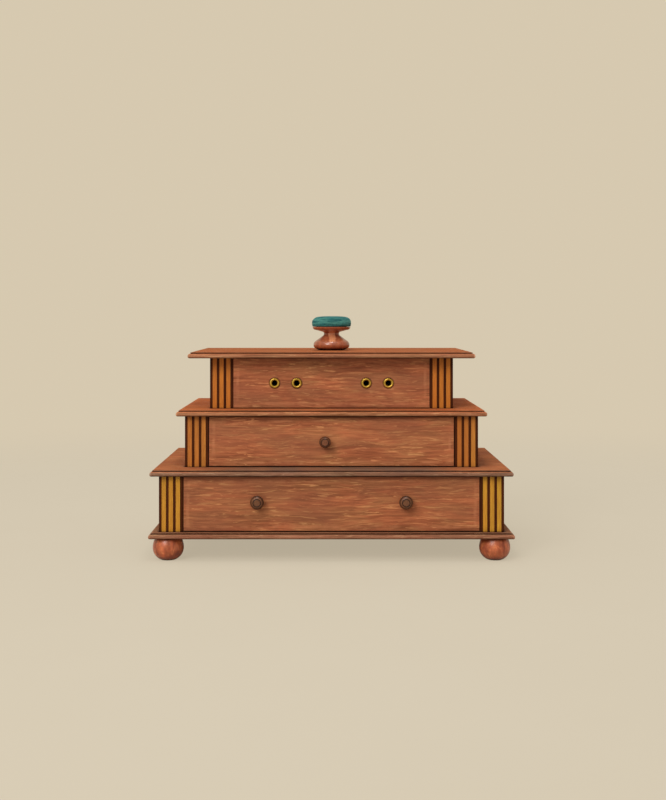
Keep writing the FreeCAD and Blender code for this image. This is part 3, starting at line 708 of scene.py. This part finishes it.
class WoodFinish:
    """The finish of one wooden piece: its wood, and then layer on layer what was done to it, with painted
    highlights and painted shade among the layers.
    """

    # How strongly the finish's marks, its painted highlight along the borders and its painted shade in the
    # mouldings colour the wood
    ring_tone = 0.22
    border_tone = 0.35
    pore_tone = 0.4
    moulding_tone = 0.85

    # How high the grain and the lathe's rings stand, and how grain and bare wood part in polish
    grain_relief = 0.35
    ring_relief = 0.5
    grain_polish = -0.08
    bare_roughness = 0.2

    # Where a dark rim starts and where it is full, as shares of a knob's radius
    rim_start = 0.68
    rim_end = 0.98

    def __init__(self, name, node, wood, tint, axis):
        self.node = node
        self.wood = wood
        self.tint = tint
        self.extent = Extent(node)
        self.material, self.graph, self.surface = new_material(f"{name}.{node}")
        graph = self.graph
        coordinates = graph.node("ShaderNodeTexCoord").outputs
        self.place = coordinates["Object"]
        self.normal = coordinates["Normal"]
        along_grain = TO_GRAIN[axis or self.extent.longest()]
        grain_place = graph.turned(self.place, along_grain, piece_shift(node))
        self.grain = graph.group("Wood Grain", {
            "Vector": grain_place,
            "Streak Length": wood.streak[0],
            "Streak Height": wood.streak[1],
            "Wander": wood.wander,
            "Patch Size": wood.patch_size,
        })
        self.edges_hollows = graph.group("Age", {
            "Vector": self.place,
            "Edge Reach": wood.edge_reach,
            "Crevice Reach": wood.crevice_reach,
            "Crevice Start": wood.crevice_start,
            "Shelter Reach": wood.shelter_reach,
        })
        self.facing = graph.group("Facing", {"Vector": grain_place})
        self.shown = self.streaked(tint, wood.hues)
        self.roughness = wood.roughness
        pore_depth = graph.times(self.grain["Pores"], -wood.pores)
        self.height = graph.plus(pore_depth, graph.times(self.grain["Tone"], self.grain_relief))

    def streaked(self, base, hues):
        """The colour of a wood with its streaks, flecks, hues and patches."""
        graph = self.graph
        grain = self.grain
        dark = self.wood.dark
        light = self.wood.light
        low = tinted(base, (dark, dark * 0.95, dark * 0.90))
        high = tinted(base, (light, light * 1.09, light * 1.16))
        fleck = tinted(base, (light * 1.22, light * 1.66, light * 1.72))
        shown = graph.blend(grain["Tone"], low, high)
        shown = graph.laid(shown, fleck, grain["Flecks"], self.wood.flecks)
        hue = graph.blend(grain["Warmth"], REDDER, YELLOWER)
        shown = graph.blend(hues, shown, hue, "MULTIPLY")
        return graph.laid(shown, tinted(base, self.wood.stain), grain["Patches"], self.wood.patches)

    def lay(self, over, mask, amount=1.0, mode="MIX"):
        """Lays a colour over what shows so far."""
        self.shown = self.graph.laid(self.shown, over, mask, amount, mode)

    def leave_bare(self, direction, bare_tint):
        """Leaves the face that looks in a direction without stain and a little rougher."""
        looks_that_way = (0.6, 0.9)
        toward = self.graph.vector("DOT_PRODUCT", self.normal, direction, result="Value")
        unfinished = self.graph.remap(toward, *looks_that_way)
        self.lay(self.streaked(bare_tint, BARE_HUES), unfinished)
        rougher = self.graph.times(unfinished, self.bare_roughness)
        self.roughness = self.graph.plus(self.roughness, rougher)

    def turn(self, axis):
        """Adds the lathe's rings round an axis, and a dark rim where the wood has one."""
        graph = self.graph
        centred = graph.vector("SUBTRACT", self.place, tuple(self.extent.middle))
        upright = graph.turned(centred, TO_UPRIGHT[axis])
        marks = graph.group("Turning", {"Vector": upright})
        self.lay(tinted(self.tint, LATHE_RING), marks["Rings"], self.ring_tone)
        self.height = graph.plus(self.height, graph.times(marks["Rings"], self.ring_relief))
        if self.wood.dark_rim:
            outer = max(self.extent.half.x, self.extent.half.z)
            rim = graph.remap(marks["Radius"], outer * self.rim_start, outer * self.rim_end)
            self.lay(tinted(self.tint, DARK_RIM), rim, self.wood.dark_rim)

    def tone_top(self, bare_tint):
        """Gives a plate's top its own tone of painted light and shade, bare wood under a storey, and a
        painted shadow in front of it.
        """
        top = self.facing["Top"]
        # Painted light and shade: the top's own tone beside its edges'
        if self.node in TOP_TONES:
            self.lay(TOP_TONES[self.node] + (1.0,), top, mode="MULTIPLY")
        if self.node in STOREY_OVER:
            covered = inside_storey(self.graph, self.place, STOREY_OVER[self.node])
            self.lay(self.streaked(bare_tint, BARE_HUES), self.graph.times(top, covered))
        # A painted shadow on a shelf in front of the storey over it
        if self.node in SHELF_SHADOW:
            before = before_storey(self.graph, self.place, self.extent)
            self.lay(SHELF_GREY, self.graph.times(top, before), SHELF_SHADOW[self.node])

    def lay_wear_and_painted_light(self, bordered):
        """Rubs and dirties the piece as its years of use have, and paints highlights and shade on it."""
        graph = self.graph
        wood = self.wood
        here = (graph, self.place, self.extent)
        deep = tinted(self.tint, DEEP_DIRT_AND_SHADE)
        # A paler colour, for wear on edges and for the painted highlight along the fronts' borders
        paler = tinted(self.tint, (wood.light * 1.12, wood.light * 1.38, wood.light * 1.55))
        if bordered:
            self.lay(paler, border_highlight(*here), self.border_tone)
        self.lay(paler, self.edges_hollows["Edges"], wood.wear)
        # Painted highlights on the plates' front corners
        if wood.corner_highlights:
            corners = graph.times(front_corners(*here), self.edges_hollows["Edges"])
            self.lay(tinted(self.tint, HIGHLIGHT_ON_CORNERS), corners, wood.corner_highlights)
        self.lay(deep, self.grain["Pores"], wood.pores * self.pore_tone)
        # Painted shade where other surfaces shelter the piece, then grime and painted shade in its crevices
        self.lay(tinted(self.tint, PAINTED_SHELTER_SHADE), self.edges_hollows["Shelter"], wood.shelter)
        self.lay(deep, self.edges_hollows["Crevices"], wood.dirt_and_shade)
        # Painted shade in the plates' steps and under their lower rounds
        if wood.moulded:
            self.lay(deep, moulding_shade_lines(*here, self.facing), self.moulding_tone)
        self.lay(DUST, self.facing["Dust"], wood.dust)
        # A painted highlight on the front of the stand's waist
        if wood.waist_highlight:
            self.lay(tinted(self.tint, HIGHLIGHT_ON_WAIST), painted_waist_highlight(*here), wood.waist_highlight)

    def finished(self):
        """The material, with all that was laid on joined to its surface."""
        graph = self.graph
        wood = self.wood
        roughness = graph.plus(self.roughness, graph.times(self.grain["Tone"], self.grain_polish))
        graph.fill(self.surface, {
            "Base Color": self.shown,
            "Roughness": graph.plus(roughness, graph.times(self.facing["Dust"], wood.dust)),
            "Normal": graph.bump(self.height, strength=0.5, distance=0.00015, edge_radius=0.0003),
            "Specular IOR Level": wood.specular,
            "Coat Weight": wood.coat,
            "Coat Roughness": wood.coat_roughness,
        })
        return self.material


def finish_wood(name, node, wood, tint, axis=None, turned=False, bare=None, bare_tint=None, bordered=False):
    """Gives a wooden piece its finish.

    The axis is the grain's, and a turned piece's. Where one of its faces was left without finish,
    bare is the direction that this face looks in, and bare_tint its colour.
    """
    finish = WoodFinish(name, node, wood, tint, axis)
    if bare is not None:
        finish.leave_bare(bare, bare_tint)
    if turned:
        finish.turn(axis)
    if wood.strip_tones:
        browner = strip_tone(finish.graph, finish.place, finish.extent, node)
        finish.lay(tinted(tint, BROWNER_SLIP), browner, wood.strip_tones)
    finish.tone_top(bare_tint)
    finish.lay_wear_and_painted_light(bordered)
    dress(node, finish.finished())


def brass_material(node, tint):
    """Aged brass: dull in its clouds, dark and brown in its hollows, bright on its edges."""
    material, graph, surface = new_material("aged_brass." + node)
    place = graph.place()
    marks = graph.group("Tarnish", {"Vector": place})
    from_occlusion = graph.group("Age", {
        "Vector": place, "Edge Reach": 0.0004, "Crevice Reach": 0.0012, "Shelter Reach": 0.004
    })
    plain = tinted(tint, (1.10, 1.02, 0.80))
    olive = tinted(tint, (0.58, 0.55, 0.32))
    brown = tinted(tint, (0.10, 0.08, 0.10))
    bright = tinted(tint, (1.30, 1.25, 1.1))
    shown = graph.laid(plain, olive, marks["Clouds"], 0.8)
    shown = graph.laid(shown, bright, from_occlusion["Edges"], 0.5)
    shown = graph.laid(shown, brown, marks["Specks"], 0.35)
    shown = graph.laid(shown, brown, from_occlusion["Shelter"], 0.9)
    graph.fill(surface, {
        "Base Color": shown,
        "Metallic": graph.remap(from_occlusion["Shelter"], 0.1, 0.9, 1.0, 0.3),
        "Roughness": graph.plus(0.36, graph.times(marks["Clouds"], 0.2)),
        "Normal": graph.bump(marks["Specks"], strength=0.3, distance=0.00006, edge_radius=0.0002),
    })
    return material


def steel_material(node, tint):
    """Dull wire with a little rust."""
    material, graph, surface = new_material("dull_steel." + node)
    marks = graph.group("Tarnish", {"Vector": graph.place()})
    shown = graph.blend(marks["Clouds"], tinted(tint), tinted(tint, (0.55, 0.5, 0.45)))
    graph.fill(surface, {
        "Base Color": graph.laid(shown, RUST, marks["Specks"], 0.8),
        "Metallic": graph.remap(marks["Specks"], 0.0, 1.0, 1.0, 0.3),
        "Roughness": graph.remap(marks["Clouds"], 0.0, 1.0, 0.42, 0.62),
        "Normal": graph.bump(marks["Specks"], strength=0.3, distance=0.00005),
    })
    return material


def velvet_material(tint):
    """Teal velvet with brushed bands in its nap, and a painted sheen that makes it palest a little over half
    its height.
    """
    sheen_height = 0.55
    material, graph, surface = new_material("teal_velvet")
    place = graph.place()
    nap = graph.group("Velvet Nap", {"Vector": place})
    from_occlusion = graph.group("Age", {"Vector": place, "Crevice Reach": 0.0010, "Shelter Reach": 0.0035})
    low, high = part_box("pincushion_pad")
    share_up = graph.math("DIVIDE", graph.minus(graph.parts(place)["Z"], low.z), high.z - low.z)
    # A painted sheen across the pad's middle height, broken up by the nap's bands
    off_band = graph.unsigned(graph.minus(share_up, sheen_height))
    paler = graph.times(graph.fade(off_band, 0.08, 0.36), nap["Bands"])
    shown = graph.blend(nap["Bands"], tinted(tint, (0.30, 0.42, 0.48)), tinted(tint, (1.2, 1.0, 0.96)))
    shown = graph.blend(paler, shown, tinted(tint, (2.6, 1.62, 1.42)))
    shown = graph.laid(shown, tinted(tint, (0.35, 0.66, 0.80)), nap["Crushed"], 0.4)
    shown = graph.blend(graph.remap(nap["Tufts"], 0.35, 0.65, 0.0, 0.4), shown, tinted(tint, (0.5, 0.6, 0.6)))
    # Painted shade where other surfaces shelter the velvet
    shown = graph.laid(shown, tinted(tint, (0.25, 0.25, 0.24)), from_occlusion["Shelter"], 0.75)
    pile = graph.plus(nap["Tufts"], graph.times(nap["Crushed"], 0.8))
    graph.fill(surface, {
        "Base Color": shown,
        "Roughness": graph.remap(nap["Crushed"], 0.0, 1.0, 0.82, 0.94),
        "Normal": graph.bump(pile, strength=0.6, distance=0.00018),
        "Specular IOR Level": 0.1,
        "Sheen Weight": 0.22,
        "Sheen Roughness": 0.4,
        "Sheen Tint": (0.35, 0.85, 0.80, 1.0),
    })
    return material


def floor_material(tint, seen_colour, glow):
    """A plain pale floor that thins out far from the box, where the background takes over.

    The camera sees a share of it as if it were lit from within, which keeps the shadow light. From
    below, it isn't there.
    """
    darker = (0.99, 0.99, 0.985)
    lighter = (1.01, 1.01, 1.01)
    thins_out = (0.45, 1.3)
    nothing = (0.0, 0.0, 0.0, 1.0)
    material, graph, surface = new_material("pale_floor")
    place = graph.place()
    mottle = graph.remap(graph.noise(place, scale=9.0, detail=5.0, roughness=0.6), 0.3, 0.7)
    lit = 1.0 - glow
    low = tinted(tint, tuple(f * lit for f in darker))
    high = tinted(tint, tuple(f * lit for f in lighter))
    around = graph.blend(mottle, tinted(tint, darker), tinted(tint, lighter))
    seen = graph.node("ShaderNodeLightPath").outputs["Is Camera Ray"]
    near = graph.fade(graph.vector("LENGTH", place, result="Value"), *thins_out)
    from_above = graph.minus(1.0, graph.node("ShaderNodeNewGeometry").outputs["Backfacing"])
    graph.fill(surface, {
        "Base Color": graph.blend(seen, around, graph.blend(mottle, low, high)),
        "Emission Color": graph.blend(seen, nothing, tinted(seen_colour)),
        "Emission Strength": glow,
        "Alpha": graph.times(near, from_above),
        "Roughness": 0.9,
        "Specular IOR Level": 0.0,
    })
    return material


def case_boards(colours):
    """The moulded plates, sides, backs, and the fronts of all three storeys."""
    inwards = {
        "left": (1.0, 0.0, 0.0),
        "right": (-1.0, 0.0, 0.0),
        "back": (0.0, -1.0, 0.0),
        "front": (0.0, 1.0, 0.0),
    }

    def board(node, wood, bare=None, bordered=False):
        tint = tinted(colours.case_wood, PLANK_TONES.get(node, PLAIN_PLANK))
        finish_wood(
            "case_wood", node, wood, tint, bare=bare, bare_tint=colours.inner_wood, bordered=bordered
        )

    for node in ("base_board", "lower_shelf", "upper_shelf", "lid_board"):
        board(node, PLATE_WOOD)
    for storey in STOREYS:
        board(storey + "_back_board", CASE_WOOD, inwards["back"])
        for side in SIDES:
            board(f"{storey}_side_{side}", CASE_WOOD, inwards[side])
    for node in ("bottom_drawer_front", "middle_drawer_front", "top_front_panel"):
        board(node, FRONT_WOOD, inwards["front"], bordered=True)


def posts_and_slips(colours):
    """The dark corner posts and the light slips in them."""
    slips = {
        "bottom": colours.yellow_slip,
        "middle": colours.amber_slip,
        "top": tinted(colours.orange_slip, (1.15, 1.26, 1.0)),
    }
    dark = tinted(colours.dark_wood, (1.15, 0.74, 0.36))
    for storey in STOREYS:
        for side in SIDES:
            finish_wood("dark_wood", f"{storey}_post_{side}", POST_WOOD, dark, axis="Z")
            finish_wood("slip_wood", f"{storey}_slips_{side}", SLIP_WOOD, slips[storey], axis="Z")


def feet(colours):
    """The four turned feet."""
    red = tinted(colours.turned_wood, (1.24, 1.06, 0.88))
    for end in ("front", "rear"):
        for side in SIDES:
            finish_wood("turned_wood", f"foot_{end}_{side}", FOOT_WOOD, red, axis="Z", turned=True)


def knobs(colours):
    """The drawers' knobs, of which the middle drawer's is a little lighter."""
    warm = (1.15, 0.95, 0.72)
    lighter = (1.45, 1.12, 0.84)
    tones = {"bottom_drawer_knob_left": warm, "bottom_drawer_knob_right": warm, "middle_drawer_knob": lighter}
    for node, tone in tones.items():
        finish_wood("knob_wood", node, KNOB_WOOD, tinted(colours.knob_wood, tone), axis="Y", turned=True)


def drawer_insides(colours):
    """The drawers' plain boards, and the guides beside them."""
    for storey in ("bottom", "middle"):
        for part in ("side_left", "side_right", "back", "bottom", "guides"):
            finish_wood("inner_wood", f"{storey}_drawer_{part}", INNER_WOOD, colours.inner_wood)


def spool_pins(colours):
    """The pale pins in the top storey."""
    finish_wood("pin_wood", "spool_pins", PIN_WOOD, colours.pin_wood, axis="Z")


def brass_pieces(colours):
    """The eyelets, and the hinges with their pins and screws."""
    nodes = ["thread_eyelets", "hinge_pins", "hinge_case_screws", "hinge_lid_screws"]
    nodes += [f"hinge_{side}_{part}_leaf" for side in SIDES for part in ("case", "lid")]
    for node in nodes:
        dress(node, brass_material(node, colours.brass))


def steel_brads(colours):
    """The brads of the back boards and of the drawers."""
    for node in ("back_board_brads", "bottom_drawer_brads", "middle_drawer_brads"):
        dress(node, steel_material(node, colours.steel))


def stand(colours):
    """The pincushion's turned stand."""
    red = tinted(colours.turned_wood, (1.06, 0.94, 0.80))
    finish_wood("turned_wood", "pincushion_stand", STAND_WOOD, red, axis="Z", turned=True)


# The pad is stuffed at this many times its real size, because simulated cloth behaves best near a metre
PAD_ENLARGED = 12.0
PAD_FRAMES = 20

# Heights over the pad's foot: of the cup's rim, and of the pad's widest line
RIM_HEIGHT = 0.0018
WIDEST_HEIGHT = 0.0041

# Below this, a distance counts as none
TINY = 1e-6


def pad_skin(pad):
    """The pad's closed skin before it is stuffed: its solid, merged, made slack and enlarged."""
    low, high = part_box("pincushion_pad")
    foot = Vector(((low.x + high.x) / 2, (low.y + high.y) / 2, low.z))
    skin = bmesh.new()
    skin.from_mesh(frame["nodes"]["pincushion_pad"].data)
    bmesh.ops.remove_doubles(skin, verts=skin.verts, dist=TINY)
    size = PAD_ENLARGED * (1 - pad.slack)
    bmesh.ops.translate(skin, vec=-foot, verts=skin.verts)
    bmesh.ops.scale(skin, vec=(size, size, size), verts=skin.verts)
    mesh = bpy.data.meshes.new("velvet_pad")
    skin.to_mesh(mesh)
    skin.free()
    return mesh, foot


def applied(thing):
    """A thing's mesh as its modifiers leave it."""
    seen = thing.evaluated_get(bpy.context.evaluated_depsgraph_get())
    return bpy.data.meshes.new_from_object(seen)


def points_of(mesh):
    """A mesh's points, a row for each."""
    points = np.empty(len(mesh.vertices) * 3)
    mesh.vertices.foreach_get("co", points)
    return points.reshape(-1, 3)


def remeshed(thing, voxel):
    """A thing's mesh made again with even faces."""
    remesh = thing.modifiers.new("Even mesh", "REMESH")
    remesh.mode = "VOXEL"
    remesh.voxel_size = voxel
    even = applied(thing)
    thing.modifiers.remove(remesh)
    return even


def stuffed(thing, pad):
    """A thing's skin swollen by its filling. What is down in the cup is held."""
    held = thing.vertex_groups.new(name="held_in_the_cup")
    start = points_of(thing.data)
    low = [i for i, point in enumerate(start) if point[2] < RIM_HEIGHT * PAD_ENLARGED]
    held.add(low, 1.0, "REPLACE")
    cloth = thing.modifiers.new("Filling", "CLOTH")
    cloth.settings.quality = 6
    cloth.settings.use_pressure = True
    cloth.settings.uniform_pressure_force = pad.pressure
    cloth.settings.effector_weights.gravity = 0.0
    cloth.settings.vertex_group_mass = held.name
    cloth.point_cache.frame_start = 1
    cloth.point_cache.frame_end = PAD_FRAMES
    for step in range(1, PAD_FRAMES + 1):
        bpy.context.scene.frame_set(step)
    swollen = applied(thing)
    thing.modifiers.remove(cloth)
    bpy.context.scene.frame_set(1)
    moved = points_of(swollen) - start
    far = np.linalg.norm(moved, axis=1)
    most = pad.swell * PAD_ENLARGED
    moved *= (np.minimum(far, most) / np.maximum(far, 1e-9))[:, None]
    swollen.vertices.foreach_set("co", (start + moved).ravel())
    return swollen


def fitted(mesh):
    """Brings the stuffed pad to the width and height of the space that the stand gives it."""
    low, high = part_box("pincushion_pad")
    space = high - low
    points = points_of(mesh)
    size = points.max(axis=0) - points.min(axis=0)
    mesh.transform(Matrix.Diagonal((space.x / size[0], space.y / size[1], space.z / size[2], 1.0)))


def plumped(mesh):
    """Fills out the pad's shoulders: its dome becomes flatter on top and rounder at the side."""
    low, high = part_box("pincushion_pad")
    full = (high.x - low.x) / 2
    rise = high.z - low.z - WIDEST_HEIGHT
    roundness = 2.9
    for vertex in mesh.vertices:
        if vertex.co.z <= WIDEST_HEIGHT:
            continue
        out = min(1.0, math.hypot(vertex.co.x, vertex.co.y) / full)
        dome = math.sqrt(1 - out**2)
        pillow = (1 - out**roundness) ** (1 / roundness)
        vertex.co.z = min(vertex.co.z + (pillow - dome) * rise, WIDEST_HEIGHT + rise)


def gathered(mesh, pad):
    """Draws the cloth into small folds under its widest line, and makes the filling a little uneven.

    The folds are unevenly spaced, and the lumps run in waves round the pad, upwards and outwards.
    """
    smooth_middle = 0.008
    fold_width = 0.6
    fold_rise = 0.8
    lumps_upwards = 160
    lumps_outwards = 240
    pick = random.Random("velvet pad")
    starts = [pick.uniform(0, 2 * math.pi) for _ in range(4)]
    for vertex in mesh.vertices:
        x, y, z = vertex.co
        radius = math.hypot(x, y)
        if radius < TINY:
            continue
        angle = math.atan2(y, x)
        drawn = min(1.0, max(0.0, (WIDEST_HEIGHT - z) / (WIDEST_HEIGHT - RIM_HEIGHT)))
        uneven = 0.35 * math.sin(3 * angle + starts[0]) + 0.25 * math.sin(7 * angle + starts[1])
        fold = abs(math.sin(pad.gathers / 2 * angle + uneven)) ** fold_width
        depth = pad.gather_depth * (1 - fold) * drawn**fold_rise
        lump = math.sin(5 * angle + starts[2] + lumps_upwards * z)
        lump *= math.sin(2 * angle + starts[3] + lumps_outwards * radius)
        depth -= pad.unevenness * lump * min(1.0, radius / smooth_middle) * (1 - drawn)
        vertex.co.x -= x / radius * depth
        vertex.co.y -= y / radius * depth


def pincushion_pad(pad, colours):
    """The stuffed velvet pad in the stand's cup."""
    mesh, foot = pad_skin(pad)
    thing = bpy.data.objects.new("velvet_pad", mesh)
    bpy.context.scene.collection.objects.link(thing)
    thing.data = remeshed(thing, pad.mesh_size * PAD_ENLARGED)
    thing.data = stuffed(thing, pad)
    mesh = thing.data
    mesh.transform(Matrix.Scale(1 / PAD_ENLARGED, 4))
    fitted(mesh)
    plumped(mesh)
    gathered(mesh, pad)
    mesh.transform(Matrix.Translation(foot))
    for polygon in mesh.polygons:
        polygon.use_smooth = True
    finer = thing.modifiers.new("Finer", "SUBSURF")
    finer.levels = 1
    finer.render_levels = 1
    mesh.materials.clear()
    mesh.materials.append(velvet_material(colours.velvet))
    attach(thing, "lid")
    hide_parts("pincushion_pad")


def floor(stage):
    """A wide flat floor under the box."""
    shape = bmesh.new()
    bmesh.ops.create_circle(shape, cap_ends=True, segments=96, radius=1.5)
    mesh = bpy.data.meshes.new("floor")
    shape.to_mesh(mesh)
    shape.free()
    mesh.materials.append(floor_material(stage.floor_colour, stage.background_colour, stage.floor_glow))
    thing = bpy.data.objects.new("floor", mesh)
    bpy.context.scene.collection.objects.link(thing)


def background(stage):
    """Plain light from all round, with a plain colour where the background itself is seen."""
    warm_white = (1.0, 0.985, 0.96, 1.0)
    world = bpy.data.worlds.new("studio")
    bpy.context.scene.world = world
    world.use_nodes = True
    world.node_tree.nodes.clear()
    graph = Graph(world.node_tree)
    light = graph.node("ShaderNodeBackground", {"Color": warm_white, "Strength": stage.fill_strength})
    seen_colour = tuple(stage.background_colour) + (1.0,)
    picture = graph.node("ShaderNodeBackground", {"Color": seen_colour, "Strength": 1.0})
    path = graph.node("ShaderNodeLightPath").outputs
    seen = graph.math("MAXIMUM", path["Is Camera Ray"], path["Is Glossy Ray"])
    seen = graph.math("MAXIMUM", seen, path["Is Transmission Ray"])
    mix = graph.node("ShaderNodeMixShader", {0: seen, 1: light.outputs[0], 2: picture.outputs[0]})
    graph.node("ShaderNodeOutputWorld", {"Surface": mix.outputs[0]})


def lamp(name, kind, place, target, only_gloss=False, **settings):
    """A lamp that looks at a point, and may light only what shines."""
    data = bpy.data.lights.new(name, kind)
    for key, value in settings.items():
        setattr(data, key, value)
    thing = bpy.data.objects.new(name, data)
    thing.location = place
    thing.rotation_euler = (Vector(target) - Vector(place)).to_track_quat("-Z", "Y").to_euler()
    thing.visible_diffuse = not only_gloss
    bpy.context.scene.collection.objects.link(thing)


def lamps(stage):
    """Soft light from the front left and from above, and three shaped lamps for the highlights."""
    middle = (0.0, 0.0, 0.1)
    lamp("key", "SUN", (-0.9, -1.9, 1.35), middle, energy=stage.key_strength, angle=math.radians(30))
    lamp("top_light", "SUN", (-0.2, -0.5, 2.0), middle, energy=stage.top_strength, angle=math.radians(70))
    lamp(
        "window", "AREA", (-0.55, -0.95, 0.75), middle,
        energy=stage.window_power, shape="RECTANGLE", size=0.30, size_y=0.42,
    )
    lamp(
        "strip", "AREA", (0.01, -0.25, 1.25), (0.0, -0.1, 0.2),
        energy=stage.strip_power, shape="RECTANGLE", size=0.11, size_y=1.1,
    )
    lamp(
        "softbox", "AREA", (-0.03, -0.22, 1.25), (0.0, 0.0, 0.19), only_gloss=True,
        energy=stage.softbox_power, shape="RECTANGLE", size=0.32, size_y=0.4,
    )


def camera(stage):
    """A level camera in front of the box."""
    low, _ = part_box("base_board")
    data = bpy.data.cameras.new("camera")
    data.lens = stage.lens
    data.clip_start = 0.01
    data.shift_x = (PICTURE_WIDTH / 2 - MIDDLE_PIXEL) / PICTURE_HEIGHT
    data.shift_y = (HORIZON_PIXEL - PICTURE_HEIGHT / 2) / PICTURE_HEIGHT
    thing = bpy.data.objects.new("camera", data)
    thing.location = (0.0, low.y - stage.camera_distance, stage.camera_height)
    thing.rotation_euler = (math.radians(90), 0.0, 0.0)
    bpy.context.scene.collection.objects.link(thing)
    bpy.context.scene.camera = thing


class PieceOperator:
    """What the operators share: the settings, and a step that makes or finishes pieces."""

    bl_options = {"REGISTER", "UNDO"}

    def execute(self, context):
        self.make(context.scene.sewing_box)
        return {"FINISHED"}


class SEWINGBOX_OT_case_boards(PieceOperator, bpy.types.Operator):
    """Finish the boards of the case, the lid and the drawer fronts in reddish wood"""

    bl_idname = "sewing_box.case_boards"
    bl_label = "Case Boards"

    def make(self, settings):
        case_boards(settings.colours)


class SEWINGBOX_OT_posts_and_slips(PieceOperator, bpy.types.Operator):
    """Finish the dark corner posts and the light slips in them"""

    bl_idname = "sewing_box.posts_and_slips"
    bl_label = "Posts and Slips"

    def make(self, settings):
        posts_and_slips(settings.colours)


class SEWINGBOX_OT_feet(PieceOperator, bpy.types.Operator):
    """Finish the four ball feet"""

    bl_idname = "sewing_box.feet"
    bl_label = "Ball Feet"

    def make(self, settings):
        feet(settings.colours)


class SEWINGBOX_OT_knobs(PieceOperator, bpy.types.Operator):
    """Finish the drawers' turned knobs"""

    bl_idname = "sewing_box.knobs"
    bl_label = "Drawer Knobs"

    def make(self, settings):
        knobs(settings.colours)


class SEWINGBOX_OT_drawer_insides(PieceOperator, bpy.types.Operator):
    """Finish the drawers' insides and their guides in plain wood"""

    bl_idname = "sewing_box.drawer_insides"
    bl_label = "Drawer Insides"

    def make(self, settings):
        drawer_insides(settings.colours)


class SEWINGBOX_OT_spool_pins(PieceOperator, bpy.types.Operator):
    """Finish the pins that hold thread spools"""

    bl_idname = "sewing_box.spool_pins"
    bl_label = "Spool Pins"

    def make(self, settings):
        spool_pins(settings.colours)


class SEWINGBOX_OT_brass_pieces(PieceOperator, bpy.types.Operator):
    """Finish the thread eyelets, the hinges and their screws in aged brass"""

    bl_idname = "sewing_box.brass_pieces"
    bl_label = "Eyelets and Hinges"

    def make(self, settings):
        brass_pieces(settings.colours)


class SEWINGBOX_OT_steel_brads(PieceOperator, bpy.types.Operator):
    """Finish the wire brads"""

    bl_idname = "sewing_box.steel_brads"
    bl_label = "Brads"

    def make(self, settings):
        steel_brads(settings.colours)


class SEWINGBOX_OT_stand(PieceOperator, bpy.types.Operator):
    """Finish the turned stand of the pincushion"""

    bl_idname = "sewing_box.stand"
    bl_label = "Pincushion Stand"

    def make(self, settings):
        stand(settings.colours)


class SEWINGBOX_OT_pincushion_pad(PieceOperator, bpy.types.Operator):
    """Make the stuffed velvet pad of the pincushion"""

    bl_idname = "sewing_box.pincushion_pad"
    bl_label = "Pincushion Pad"

    def make(self, settings):
        pincushion_pad(settings.pad, settings.colours)


class SEWINGBOX_OT_stage(PieceOperator, bpy.types.Operator):
    """Set up the floor, the lamps and the camera"""

    bl_idname = "sewing_box.stage"
    bl_label = "Stage"

    def make(self, settings):
        bpy.context.scene.view_settings.view_transform = "Standard"
        floor(settings.stage)
        background(settings.stage)
        lamps(settings.stage)
        camera(settings.stage)


PIECE_OPERATORS = (
    SEWINGBOX_OT_case_boards,
    SEWINGBOX_OT_posts_and_slips,
    SEWINGBOX_OT_feet,
    SEWINGBOX_OT_knobs,
    SEWINGBOX_OT_drawer_insides,
    SEWINGBOX_OT_spool_pins,
    SEWINGBOX_OT_brass_pieces,
    SEWINGBOX_OT_steel_brads,
    SEWINGBOX_OT_stand,
    SEWINGBOX_OT_pincushion_pad,
    SEWINGBOX_OT_stage,
)


class SEWINGBOX_PT_panel(bpy.types.Panel):
    """The sewing box's settings and steps"""

    bl_label = "Sewing Box"
    bl_space_type = "VIEW_3D"
    bl_region_type = "UI"
    bl_category = "Sewing Box"

    def draw(self, context):
        settings = context.scene.sewing_box
        for part in (settings.colours, settings.pad, settings.stage):
            box = self.layout.box()
            for name in part.__annotations__:
                box.prop(part, name)
        for operator in PIECE_OPERATORS:
            self.layout.operator(operator.bl_idname)


CLASSES = (
    SewingBoxColours,
    SewingBoxPad,
    SewingBoxStage,
    SewingBoxSettings,
    *PIECE_OPERATORS,
    SEWINGBOX_PT_panel,
)


def register():
    for one in CLASSES:
        bpy.utils.register_class(one)
    bpy.types.Scene.sewing_box = bpy.props.PointerProperty(type=SewingBoxSettings)


def unregister():
    del bpy.types.Scene.sewing_box
    for one in reversed(CLASSES):
        bpy.utils.unregister_class(one)


def main():
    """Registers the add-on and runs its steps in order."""
    register()
    for operator in PIECE_OPERATORS:
        group, name = operator.bl_idname.split(".")
        getattr(getattr(bpy.ops, group), name)()


if __name__ == "__main__":
    main()
